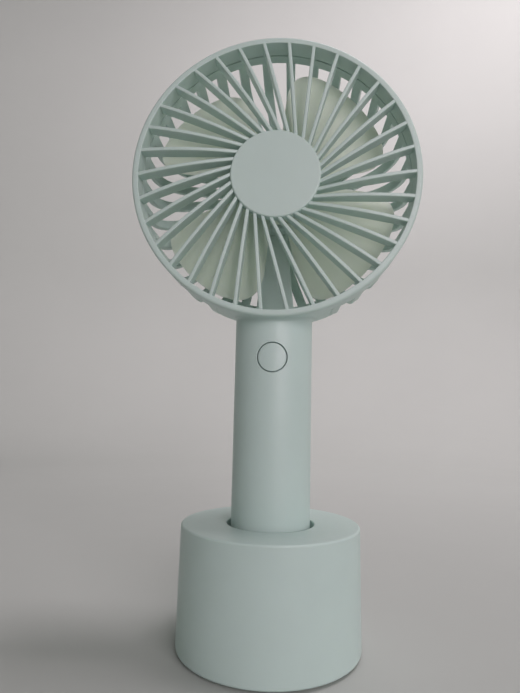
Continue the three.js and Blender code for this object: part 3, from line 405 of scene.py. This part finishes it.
def bump(tree, shader, height, strength, distance):
    node = tree.nodes.new("ShaderNodeBump")
    node.inputs["Strength"].default_value = strength
    node.inputs["Distance"].default_value = distance
    tree.links.new(height, node.inputs["Height"])
    tree.links.new(node.outputs["Normal"], shader.inputs["Normal"])


def linear(red, green, blue):
    """A display colour, 0 to 255, as linear light."""
    return tuple(((c / 255 + 0.055) / 1.055) ** 2.4 for c in (red, green, blue))


def shifted(colour, factor):
    return tuple(min(1.0, c * factor) for c in colour)


def surface(name, colour, roughness, variation=0.04, patch=60, grain=2600, grain_height=0.25,
            metallic=0.0, subsurface=0.0, stretch=None):
    """Moulded or finished stock: soft colour patches, uneven gloss and a fine grain."""
    material, tree, shader, where = nodes_of(name)
    if stretch:
        mapping = tree.nodes.new("ShaderNodeMapping")
        mapping.inputs["Scale"].default_value = stretch
        tree.links.new(where, mapping.inputs["Vector"])
        where = mapping.outputs["Vector"]
    patches = noise(tree, where, patch, 4.0, 0.55)
    dark, light = shifted(colour, 1 - variation), shifted(colour, 1 + variation)
    tree.links.new(ramp(tree, patches, [(0.3, dark), (0.7, light)]), shader.inputs["Base Color"])
    gloss = noise(tree, where, patch * 9, 3.0)
    tree.links.new(spread(tree, gloss, roughness - 0.05, roughness + 0.06), shader.inputs["Roughness"])
    bump(tree, shader, noise(tree, where, grain, 2.0), grain_height, 0.00004)
    shader.inputs["Metallic"].default_value = metallic
    if subsurface:
        shader.inputs["Subsurface Weight"].default_value = subsurface
        shader.inputs["Subsurface Radius"].default_value = (1.0, 1.0, 0.8)
        shader.inputs["Subsurface Scale"].default_value = 0.0012
    return material


def board_surface(name, colour, track):
    """Solder mask with the faint raised tracks of a printed board."""
    material, tree, shader, where = nodes_of(name)
    bricks = tree.nodes.new("ShaderNodeTexBrick")
    bricks.inputs["Scale"].default_value = 260
    bricks.inputs["Mortar Size"].default_value = 0.05
    bricks.inputs["Color1"].default_value = (*colour, 1)
    bricks.inputs["Color2"].default_value = (*shifted(colour, 0.85), 1)
    bricks.inputs["Mortar"].default_value = (*track, 1)
    tree.links.new(where, bricks.inputs["Vector"])
    tree.links.new(bricks.outputs["Color"], shader.inputs["Base Color"])
    tree.links.new(spread(tree, noise(tree, where, 900), 0.35, 0.5), shader.inputs["Roughness"])
    bump(tree, shader, bricks.outputs["Fac"], 0.3, 0.00005)
    return material


MINT = linear(205, 226, 220)
PALE = linear(206, 226, 219)
looks = {
    "shell_plastic": surface("satin_mint_plastic", MINT, 0.4, 0.015, subsurface=0.15),
    "grille_plastic": surface("satin_pale_mint_plastic", PALE, 0.4, 0.015, subsurface=0.15),
    "impeller_plastic": surface("milky_ivory_plastic", linear(228, 240, 224), 0.38, 0.02, subsurface=0.35),
    "button_plastic": surface("satin_button_plastic", MINT, 0.38, 0.015, subsurface=0.15),
    "silicone": surface("matt_silicone", linear(150, 168, 160), 0.8, 0.06, grain_height=0.5),
    "steel": surface("drawn_steel", linear(176, 180, 184), 0.3, 0.08, 300, metallic=1.0, stretch=(1, 1, 0.1)),
    "brass": surface("gilt_brass", linear(214, 176, 104), 0.28, 0.08, 400, metallic=1.0),
    "ferrite": surface("sintered_ferrite", linear(66, 64, 64), 0.65, 0.15, 500, 1500, 0.6),
    "rotor_core": surface("wound_rotor", linear(176, 106, 62), 0.4, 0.2, 900, metallic=1.0,
                          stretch=(1, 0.1, 1)),
    "black_plastic": surface("moulded_black_plastic", linear(40, 42, 44), 0.5, 0.12),
    "circuit_board": board_surface("printed_board", linear(38, 96, 64), linear(70, 132, 92)),
    "cell_wrap": surface("cell_shrink_wrap", linear(72, 132, 170), 0.35, 0.06, 200),
    "foam": surface("open_foam", linear(74, 76, 78), 0.95, 0.3, 1400, 1400, 1.0),
    "red_insulation": surface("red_wire_insulation", linear(176, 48, 42), 0.45, 0.08, 300),
    "black_insulation": surface("black_wire_insulation", linear(32, 32, 34), 0.45, 0.12, 300),
}

node_slots = {part["node"]: part["material_slot"] for part in frame["record"]["subparts"]}


# ------------------------------------------------------------------ head
def head_solid(inset, y0):
    """The head's outside from y0 to the flat back, set inwards by an amount."""
    outline = [(0, y0), (HEAD_R - inset, y0), *arc(CORNER_R, CORNER_Y, HEAD_CORNER_R - inset, 0, 90, 16),
               (0, REAR_Y - inset)]
    return turned(outline, "Y")


def tongue_sector(room, y0):
    """The region of the main shell's tongue under the head, with air added all round."""
    half = TONGUE_HALF + math.degrees(room / TONGUE_END_R)
    return sector(TONGUE_END_R - room, HEAD_R + 5, 180 - half, 180 + half, y0, REAR_Y + 1)


def rib_front(radius):
    """How far forward a rib's arched front stands at a radius, from the hub's side to the ring."""
    along = (radius - HUB_R) / (OPENING_R - HUB_R)
    start, end = HUB_Y + RIB_SINK, FRONT_Y + 0.05
    return start + (end - start) * along - RIB_ARCH * 4 * along * (1 - along)


def arched_rib(turn):
    """One rib of the front grille, with a flat back and softly rounded front edges."""
    half, soft, stations = RIB_WIDTH / 2, 0.34, 14
    inner = math.sqrt((HUB_R - 0.65) ** 2 - RIB_OFFSET ** 2)
    outer = math.sqrt((OPENING_R + 0.5) ** 2 - (RIB_OFFSET + half) ** 2)
    rings = []
    for k in range(stations + 1):
        z = inner + (outer - inner) * k / stations
        section = rounded([
            (-half, rib_front(math.hypot(RIB_OFFSET - half, z)), soft),
            (half, rib_front(math.hypot(RIB_OFFSET + half, z)), soft),
            (half, HUB_Y + RIB_DEPTH, 0.2), (-half, HUB_Y + RIB_DEPTH, 0.2)], 4)
        rings.append([clockwise((RIB_OFFSET + x, y, HEAD_Z + z), turn) for x, y in section])
    return rings


def front_grille():
    ring = turned(rounded([
        (OPENING_R, SPIGOT_REAR_Y, 0.2), (OPENING_R, FRONT_Y, 0.3), (HEAD_R, FRONT_Y, 0.95),
        (HEAD_R, FRONT_Y + RING_DEPTH, 0.15), (SPIGOT_R, FRONT_Y + RING_DEPTH, 0),
        (SPIGOT_R, SPIGOT_REAR_Y, 0.2)]), "Y")
    hub = turned(rounded([
        (0, HUB_Y, 0), (HUB_R, HUB_Y, 0.6), (HUB_R, HUB_Y + RIB_DEPTH, 0.2),
        (HUB_R - 1.3, HUB_Y + RIB_DEPTH, 0.2), (HUB_R - 1.3, HUB_Y + 1.6, 0.4), (0, HUB_Y + 1.6, 0)]), "Y")
    grille = join(ring, lofted([arched_rib(RIB_TURN + i * PITCH) for i in range(RIBS)]), hub)
    half = math.degrees(PEG_HALF / HEAD_R)
    for peg in PEGS:
        grille = join(grille, sector(SPIGOT_R - 0.3, SPIGOT_R + PEG_HEIGHT, peg - half, peg + half,
                                     PEG_Y - PEG_HALF, PEG_Y + PEG_HALF, 0.5))
    return grille


def rear_path():
    """Points of the head's outer skin as (radius, y, inward radius, inward y)."""
    path = [(HEAD_R, SIDE_FRONT_Y + 0.8 + (CORNER_Y - SIDE_FRONT_Y - 0.8) * k / 3, -1, 0) for k in range(4)]
    for k in range(1, 17):
        angle = math.radians(90 * k / 16)
        path.append((CORNER_R + HEAD_CORNER_R * math.cos(angle), CORNER_Y + HEAD_CORNER_R * math.sin(angle),
                     -math.cos(angle), -math.sin(angle)))
    inner = CUP_R + 0.4
    path += [(CORNER_R + (inner - CORNER_R) * k / 4, REAR_Y, 0, -1) for k in range(1, 5)]
    return path


def rear_bars(first):
    """Every other rib of the rear grille, each bent round the head's rear corner."""
    half = REAR_RIB_WIDTH / 2
    section = rounded([
        (REAR_RIB_OFFSET - half, 0, 0.45), (REAR_RIB_OFFSET + half, 0, 0.45),
        (REAR_RIB_OFFSET + half, REAR_RIB_DEPTH, 0.35), (REAR_RIB_OFFSET - half, REAR_RIB_DEPTH, 0.35)], 4)
    phase = 180 - PITCH / 2 - math.degrees(math.asin(REAR_RIB_OFFSET / HEAD_R))
    bars = []
    for i in range(first, RIBS, 2):
        rings = []
        for radius, y, in_r, in_y in rear_path():
            ring = []
            for x, depth in section:
                r = radius + in_r * depth
                point = (x, y + in_y * depth, HEAD_Z + math.sqrt(r * r - x * x))
                ring.append(clockwise(point, phase + i * PITCH))
            rings.append(ring)
        bars.append(rings)
    return lofted(bars)


def duct_body(shrink, z0, z1, y0, y1, edge):
    """The wedge that carries the motor's leads down to the handle, or its hollow."""
    rings = []
    for half, z in ((DUCT_TOP_HALF - shrink, z0), (DUCT_FOOT_HALF - shrink, z1)):
        outline = rounded([(-half, y0, edge), (half, y0, edge), (half, y1, edge), (-half, y1, edge)], 4)
        rings.append([(x, y, HEAD_Z + z) for x, y in outline])
    return lofted([rings])


def rear_grille():
    ribs = cut(join(rear_bars(0), rear_bars(1)), tongue_sector(GAP, SIDE_FRONT_Y - 1))
    skin = cut(head_solid(0, SIDE_FRONT_Y), head_solid(REAR_RIB_DEPTH, SIDE_FRONT_Y - 1))
    rim = cut(cross(skin, tongue_sector(GAP + RIM_WIDTH, TONGUE_REAR_Y - REAR_RIB_DEPTH)),
              tongue_sector(GAP, SIDE_FRONT_Y - 1))
    ring = turned(rounded([
        (OPENING_R, REAR_RING_FRONT_Y, 0.2), (SPIGOT_R, REAR_RING_FRONT_Y, 0.2), (SPIGOT_R, SIDE_FRONT_Y, 0),
        (HEAD_R, SIDE_FRONT_Y, 0.15), (HEAD_R, SIDE_FRONT_Y + REAR_RING_LIP, 0.1),
        (OPENING_R, SIDE_FRONT_Y + REAR_RING_LIP, 0.3)]), "Y")
    hub = turned(rounded([
        (SHAFT_BOSS_R, CUP_FRONT_Y, 0.2), (CUP_R, CUP_FRONT_Y, 0.8), (CUP_R, REAR_Y - REAR_RIB_DEPTH, 0),
        (REAR_HUB_R, REAR_Y - REAR_RIB_DEPTH, 0.2), (REAR_HUB_R, REAR_Y, 0.4), (MOTOR_R + GAP, REAR_Y, 0.3),
        (MOTOR_R + GAP, CUP_FRONT_Y + CUP_FLOOR, 0), (SHAFT_BOSS_R, CUP_FRONT_Y + CUP_FLOOR, 0.2)]), "Y")
    duct = cross(duct_body(0, -CUP_R + 1, -HEAD_R - 2, DUCT_FRONT_Y, REAR_Y + 2, 0.5),
                 head_solid(0, CUP_FRONT_Y))
    hollow = cross(duct_body(DUCT_WALL, -MOTOR_R + 1, -HEAD_R - 3,
                             DUCT_FRONT_Y + DUCT_WALL, REAR_Y - DUCT_WALL, 0.3),
                   head_solid(DUCT_WALL, CUP_FRONT_Y))
    cup_hollow = turned([(0, CUP_FRONT_Y + CUP_FLOOR), (MOTOR_R + GAP, CUP_FRONT_Y + CUP_FLOOR),
                         (MOTOR_R + GAP, REAR_Y + 1), (0, REAR_Y + 1)], "Y")
    tongue_room = cross(cut(head_solid(-2, SIDE_FRONT_Y - 4), head_solid(HEAD_WALL + GAP, SIDE_FRONT_Y - 5)),
                        tongue_sector(GAP, BAND_REAR_Y - 3))
    wire_exit = slot_y(2.6, HEAD_Z - CUP_R - 1, HEAD_Z - MOTOR_R + 1, 0.2, REAR_Y - 4.5, REAR_Y - 1.4)
    hole = [(0, CUP_FRONT_Y - 1), (MOTOR_SCREW_HOLE_R, CUP_FRONT_Y - 1),
            (MOTOR_SCREW_HOLE_R, CUP_FRONT_Y + 3), (0, CUP_FRONT_Y + 3)]
    screw_holes = [moved(turned(hole, "Y", 24), x, 0) for x in (-MOTOR_SCREW_X, MOTOR_SCREW_X)]
    return cut(join(ribs, rim, ring, hub, duct), hollow, cup_hollow, tongue_room, wire_exit, *screw_holes)


# ------------------------------------------------------------------ main shell, with the handle
def underside(x, y):
    """Height of the head's underside at (x, y)."""
    over = max(0.0, y - CORNER_Y)
    radius = CORNER_R + math.sqrt(max(0.0, HEAD_CORNER_R ** 2 - over ** 2))
    return HEAD_Z - math.sqrt(max(0.0, radius ** 2 - x ** 2))


def neck_fillet():
    """A small hollow fillet where the handle meets the head's curved underside."""
    reach = HANDLE_R + NECK_FILLET
    curve = [(reach + NECK_FILLET * a, NECK_FILLET * (b - 1)) for a, b in arc(0, 0, 1, 180, 90, 12)]
    outline = [(HANDLE_R - 1, 1), (HANDLE_R - 1, -NECK_FILLET), *curve, (reach, 1)]
    return turned(outline, "Z", ROUND, shape=lambda p: (p[0], p[1], p[2] + underside(p[0], p[1])))


def follow_handle(r, drop):
    """A ring round the button's axis, as far under the handle's round face as the drop."""
    ring = []
    for k in range(SMALL_ROUND):
        x, z = r * math.sin(TURN * k / SMALL_ROUND), r * math.cos(TURN * k / SMALL_ROUND)
        ring.append((x, -math.sqrt(HANDLE_R ** 2 - x * x) + drop, BUTTON_Z + z))
    return ring


def button_hole():
    """A round plug along Y whose outer end flares as it leaves the handle's round face."""
    radius, soft = BUTTON_R + GAP, 0.35
    rings = [[(x, 0, z) for x, y, z in follow_handle(radius, 0)], follow_handle(radius, soft)]
    rings += [follow_handle(radius + BUTTON_HOLE_FLARE * (1 - math.cos(math.radians(a))),
                            soft - soft * math.sin(math.radians(a))) for a in (30, 60, 90)]
    rings.append(follow_handle(radius + BUTTON_HOLE_FLARE + 0.3, -2.0))
    return lofted([rings])


def main_shell():
    band = turned(rounded([
        (HEAD_R - HEAD_WALL, BAND_FRONT_Y, 0.15), (HEAD_R, BAND_FRONT_Y, 0.25),
        (HEAD_R, BAND_REAR_Y, 0.25), (HEAD_R - HEAD_WALL, BAND_REAR_Y, 0.15)], 4), "Y")
    tongue = cross(cut(head_solid(0, BAND_FRONT_Y), head_solid(HEAD_WALL, BAND_FRONT_Y - 1)),
                   tongue_sector(0, BAND_REAR_Y - 1))
    stem = turned(rounded([(0, SHELL_FOOT_Z, 0), (HANDLE_R, SHELL_FOOT_Z, 0.2),
                           (HANDLE_R, HEAD_Z - CORNER_R, 0), (0, HEAD_Z - CORNER_R, 0)]), "Z", ROUND)
    clip = lofted([[[(x, y, z) for x, y in ((-HEAD_R, BAND_FRONT_Y), (HEAD_R, BAND_FRONT_Y),
                                            (HEAD_R, TONGUE_REAR_Y), (-HEAD_R, TONGUE_REAR_Y))]
                    for z in (CAP_Z, HEAD_Z)]])
    shell = join(band, tongue, stem, cross(neck_fillet(), clip))
    inside = turned([(0, FRONT_Y), (TONGUE_END_R, FRONT_Y), (TONGUE_END_R, REAR_Y + 1), (0, REAR_Y + 1)],
                    "Y")
    bore_top = HEAD_Z - HEAD_R - 3
    shell = cut(shell, head_solid(HEAD_WALL, FRONT_Y - 5), inside,
                rod_z(0, 0, BORE_R, CAP_Z - 1, bore_top),
                rod_z(0, BORE_R - 2.5, WIRE_HOLE_R, bore_top - 1, HEAD_Z - CORNER_R, 32))
    room = math.degrees((PEG_HALF + 1.5 * GAP) / HEAD_R)
    track_r = SPIGOT_R + PEG_HEIGHT + GAP
    for peg in PEGS:
        free = peg - TWIST
        track = sector(SPIGOT_R, track_r, free - room, peg + room,
                       PEG_Y - PEG_HALF - GAP, PEG_Y + PEG_HALF + GAP)
        entry = sector(SPIGOT_R, track_r, free - room, free + room, BAND_FRONT_Y - 1, PEG_Y)
        shell = cut(shell, track, entry)
    shell = cut(shell, button_hole(), usb_slot("handle_usb_inlet", BORE_R - 3, HANDLE_R + 1))
    for y in (-CAP_SCREW_Y, CAP_SCREW_Y):
        boss = cross(rod_z(0, y, BOSS_R, SHELL_FOOT_Z, CAP_Z + BOSS_HEIGHT, 32),
                     rod_z(0, 0, HANDLE_R - 0.9, CAP_Z, CAP_Z + BOSS_HEIGHT))
        shell = join(shell, cut(boss, rod_z(0, y, 1.0, CAP_Z, CAP_Z + BOSS_HEIGHT - 1.5, 24)))
    return shell


def handle_end_cap():
    plug_r, plug_inner_r, plate_z = BORE_R - GAP, BORE_R - 1.6, CAP_Z + CAP_PLATE
    cap = turned(rounded([
        (0, CAP_Z, 0), (HANDLE_R, CAP_Z, 0.9), (HANDLE_R, plate_z, 0.15), (plug_r, plate_z, 0),
        (plug_r, CAP_PLUG_Z, 0.3), (plug_inner_r, CAP_PLUG_Z, 0.2), (plug_inner_r, plate_z, 0),
        (0, plate_z, 0)]), "Z", SMALL_ROUND)
    for y in (-CAP_SCREW_Y, CAP_SCREW_Y):
        boss_room = rod_z(0, y, BOSS_R + GAP, plate_z, CAP_PLUG_Z + 1, 32)
        screw_hole = rod_z(0, y, 1.2, CAP_Z - 1, plate_z + 1, 24)
        head_recess = rod_z(0, y, 1.8, CAP_Z - 1, CAP_Z + 1.3, 32)
        cap = cut(cap, boss_room, screw_hole, head_recess)
    outer = span("contact_ring", 0)[1] + FIT
    inner = outer - CONTACT_RING_WIDTH
    recess = turned([(inner, CAP_Z - 1), (outer, CAP_Z - 1), (outer, CAP_Z + 1), (inner, CAP_Z + 1)],
                    "Z", SMALL_ROUND)
    return cut(cap, recess, rod_z(0, 0, width("contact_disc") / 2 + FIT, CAP_Z - 1, CAP_Z + 1, 48))


def power_button():
    """A flush cap that follows the handle's round face, with a soft edge and a lip behind the shell."""
    edge = 0.25
    profile = [(BUTTON_R * k / 8, 0.0) for k in range(1, 8)]
    profile += [(BUTTON_R - edge + edge * math.sin(math.radians(a)), edge - edge * math.cos(math.radians(a)))
                for a in (0, 30, 60, 90)]
    rings = [[(0, -HANDLE_R, BUTTON_Z)]] + [follow_handle(r, drop) for r, drop in profile]
    rear_y = 1.6 - BORE_R
    rings.append([(x, rear_y, z) for x, y, z in rings[-1]])
    rings.append([(0, rear_y, BUTTON_Z)])
    lip = cross(rod_y(BUTTON_Z, BUTTON_R + GAP + BUTTON_LIP, -HANDLE_R, 0),
                rod_z(0, 0, BORE_R - GAP, BUTTON_Z - 8, BUTTON_Z + 8))
    lip = cut(lip, rod_z(0, 0, BORE_R - GAP - BUTTON_LIP, BUTTON_Z - 9, BUTTON_Z + 9))
    return cut(join(lofted([rings]), lip), rod_y(BUTTON_Z, BUTTON_R - 0.8, 1.3 - HANDLE_R, 0))


# ------------------------------------------------------------------ impeller
def blade(turn):
    """One twisted blade: rings run round its section, from the root to the rounded tip."""
    root = IMPELLER_HUB_R - 0.7
    shoulder = root + (TIP_R - root) * BLADE_SHOULDER
    columns, rows = 40, 22

    def surface_point(u, v, side):
        across = 0.5 - 0.5 * math.cos(math.pi * u)
        off = abs(2 * across - 1)
        end = shoulder + (TIP_R - shoulder) * math.sqrt(max(0.0, 1 - off ** 6))
        radius = root + (end - root) * v
        reach = (radius - root) / (TIP_R - root)
        angle = math.radians(BLADE_START + BLADE_ANGLE * across)
        front = IMPELLER_FRONT_Y + 2 + 2.4 * reach
        rear = (IMPELLER_REAR_Y - 1.2) * (1 - reach) + (DUCT_FRONT_Y - 2.4) * reach
        thin = (0.3 + 0.7 * (1 - off ** 6)) * (0.35 + 0.65 * (1 - v ** 10))
        y = front * (1 - across) + rear * across + side * BLADE_THICKNESS / 2 * thin
        return clockwise((radius * math.sin(angle), y, HEAD_Z + radius * math.cos(angle)), turn)

    rings = []
    for i in range(columns + 1):
        u = i / columns
        front = [surface_point(u, k / rows, -1) for k in range(rows + 1)]
        rear = [surface_point(u, k / rows, 1) for k in range(rows, -1, -1)]
        rings.append(front + rear)
    return rings


def impeller():
    boss = SHAFT_R + 1.6
    inner_r, inner_y = IMPELLER_HUB_R - IMPELLER_WALL, IMPELLER_FRONT_Y + IMPELLER_WALL
    hub = turned(rounded([
        (0, IMPELLER_FRONT_Y, 0), (IMPELLER_HUB_R, IMPELLER_FRONT_Y, 2.0),
        (IMPELLER_HUB_R, IMPELLER_REAR_Y, 0.2), (inner_r, IMPELLER_REAR_Y, 0.2), (inner_r, inner_y, 0.6),
        (boss, inner_y, 0.3), (boss, IMPELLER_REAR_Y - 1, 0.2), (0, IMPELLER_REAR_Y - 1, 0)]),
        "Y", SMALL_ROUND)
    wheel = join(hub, lofted([blade(i * 360 / BLADES) for i in range(BLADES)]))
    hollow = turned([(boss, inner_y), (inner_r, inner_y),
                     (inner_r, IMPELLER_REAR_Y), (boss, IMPELLER_REAR_Y)], "Y", SMALL_ROUND)
    bore = turned([(0, SHAFT_FRONT_Y - 0.4), (SHAFT_R + FIT, SHAFT_FRONT_Y - 0.4),
                   (SHAFT_R + FIT, IMPELLER_REAR_Y), (0, IMPELLER_REAR_Y)], "Y", 32)
    return cut(wheel, hollow, bore)


def rear_cap():
    return turned(rounded([(0, REAR_CAP_FRONT_Y, 0), (REAR_CAP_R, REAR_CAP_FRONT_Y, 0.1),
                           (REAR_CAP_R, REAR_Y, 0.4), (0, REAR_Y, 0)]), "Y", ROUND)


# ------------------------------------------------------------------ base
def base_shell():
    inner_top = BASE_TOP_Z - BASE_WALL
    plate_top = span("charge_board", 2)[0] - 2.2
    shell = turned(rounded([
        (PLATE_R + GAP, BASE_FOOT_Z, 0.2), (BASE_FOOT_R, BASE_FOOT_Z, 1.0), (BASE_TOP_R, BASE_TOP_Z, 0.7),
        (SOCKET_R, BASE_TOP_Z, 0.5), (SOCKET_R, SOCKET_FLOOR_Z, 0.5), (0, SOCKET_FLOOR_Z, 0),
        (0, SOCKET_FLOOR_Z - SOCKET_WALL, 0), (SOCKET_R + SOCKET_WALL, SOCKET_FLOOR_Z - SOCKET_WALL, 0.5),
        (SOCKET_R + SOCKET_WALL, inner_top, 0.5), (BASE_TOP_R - BASE_WALL, inner_top, 0.5),
        (BASE_FOOT_R - BASE_WALL, plate_top + GAP, 0), (PLATE_R + GAP, plate_top + GAP, 0)]))
    half, tip_r, root_r = SOCKET_RIB_HALF, HANDLE_R + GAP, SOCKET_R + SOCKET_WALL / 2
    outline = rounded([(-half, tip_r, 0.35), (half, tip_r, 0.35), (half, root_r, 0), (-half, root_r, 0)], 4)
    for i in range(SOCKET_RIBS):
        angle = math.radians(45 + i * 360 / SOCKET_RIBS)
        across = Vector((-math.sin(angle), math.cos(angle)))
        outward = Vector((math.cos(angle), math.sin(angle)))
        places = [across * a + outward * b for a, b in outline]
        rib = lofted([[[(p.x, p.y, z) for p in places] for z in (SOCKET_FLOOR_Z - 0.5, BASE_TOP_Z - 6)]])
        shell = join(shell, rib)
    outer_pin = sum(span("contact_pin_outer", 0)) / 2
    pin_r = width("contact_pin_outer") / 2 + GAP
    return cut(shell, usb_slot("base_usb_inlet", BASE_TOP_R - 5, BASE_FOOT_R + 1),
               rod_z(0, 0, pin_r, SOCKET_FLOOR_Z - 3, SOCKET_FLOOR_Z + 1, 24),
               rod_z(outer_pin, 0, pin_r, SOCKET_FLOOR_Z - 3, SOCKET_FLOOR_Z + 1, 24))


def anti_slip_pad():
    return turned(rounded([(0, 0, 0), (PAD_R, 0, 0.35), (PAD_R, PAD_TOP_Z, 0.1), (0, PAD_TOP_Z, 0)]))


place(front_grille(), "front_grille_moulding", "front_cover", "front_grille")
place(rear_grille(), "rear_grille_moulding", "fan", "rear_grille")
place(main_shell(), "main_shell_moulding", "fan", "main_shell")
place(handle_end_cap(), "end_cap_moulding", "fan", "handle_end_cap")
place(power_button(), "power_button_cap", "power_button", "power_button")
place(impeller(), "impeller_moulding", "impeller", "impeller")
place(rear_cap(), "rear_cap_disc", "fan", "rear_cap")
place(base_shell(), "base_shell_moulding", "base", "base_shell")
place(anti_slip_pad(), "base_pad", "base", "anti_slip_pad")

for name, node in frame["nodes"].items():
    if not node.hide_render:
        for held in node.material_slots:
            held.link = "OBJECT"
            held.material = looks[node_slots[name]]


# ------------------------------------------------------------------ studio
def cove():
    """A round floor that curves up into a pale wall on every side."""
    curve_r = WALL_R - FLOOR_R
    profile = [(0, 0), (FLOOR_R, 0)]
    profile += [(FLOOR_R + curve_r * math.sin(math.radians(a)), curve_r - curve_r * math.cos(math.radians(a)))
                for a in range(6, 91, 6)]
    profile.append((WALL_R, WALL_TOP))
    bm = bmesh.new()
    rings = []
    for r, z in profile:
        angles = [TURN * k / SMALL_ROUND for k in range(SMALL_ROUND if r else 1)]
        rings.append([bm.verts.new((r * math.cos(t), r * math.sin(t), z)) for t in angles])
    for first, second in zip(rings, rings[1:]):
        bridge(bm, first, second)
    made = finish_mesh(bm, "studio_floor")
    made.data.shade_smooth()
    material, tree, shader, where = nodes_of("pale_paper")
    paper = linear(199, 204, 199)
    patches = ramp(tree, noise(tree, where, 3), [(0.3, shifted(paper, 0.98)), (0.7, shifted(paper, 1.02))])
    tree.links.new(patches, shader.inputs["Base Color"])
    tree.links.new(spread(tree, noise(tree, where, 40), 0.75, 0.85), shader.inputs["Roughness"])
    made.data.materials.append(material)
    return made


def softbox(name, place_at, target, size, power, colour, spread_angle):
    """A square or oblong light in metres and watts, which the camera doesn't see."""
    light = bpy.data.lights.new(name, "AREA")
    light.shape = "RECTANGLE"
    light.size, light.size_y = size
    light.energy = power
    light.color = colour
    light.spread = math.radians(spread_angle)
    made = bpy.data.objects.new(name, light)
    made.location = place_at
    made.rotation_euler = (Vector(target) - Vector(place_at)).to_track_quat("-Z", "Y").to_euler()
    made.visible_camera = False
    bpy.context.scene.collection.objects.link(made)


cove()
WARM = (1.0, 0.885, 0.94)
CAMERA_PLACE = (6.17, -187.96, 81.19)
CAMERA_TURN = (96.50, -1.27, 3.25)
IMAGE_WIDTH, IMAGE_HEIGHT = 520, 693
softbox("key_light", (0.34, -0.66, 0.36), (0, 0, 0.19), (0.5, 0.5), 0.72, WARM, 84)
softbox("strip_light", (0.26, -0.85, 0.3), (0, 0, 0.1), (0.04, 0.5), 0.15, WARM, 100)
softbox("wall_light", (0.36, 0.1, 1.2), (0.3, 1.0, 0.5), (0.5, 0.5), 8.2, WARM, 150)
world = bpy.data.worlds.new("studio_air")
bpy.context.scene.world = world
world.use_nodes = True
background = world.node_tree.nodes["Background"]
background.inputs["Color"].default_value = (0.85, 0.95, 1.0, 1)
background.inputs["Strength"].default_value = 0.07

camera = bpy.data.objects.new("camera", bpy.data.cameras.new("camera"))
camera.data.sensor_width = 36
camera.data.lens = 36 * IMAGE_WIDTH / IMAGE_HEIGHT
camera.data.clip_start = 0.01
camera.data.clip_end = 20
camera.location = Vector(CAMERA_PLACE) * MM
camera.rotation_euler = Euler([math.radians(a) for a in CAMERA_TURN], "XYZ")
bpy.context.scene.collection.objects.link(camera)
bpy.context.scene.camera = camera
bpy.context.scene.view_settings.view_transform = "Standard"
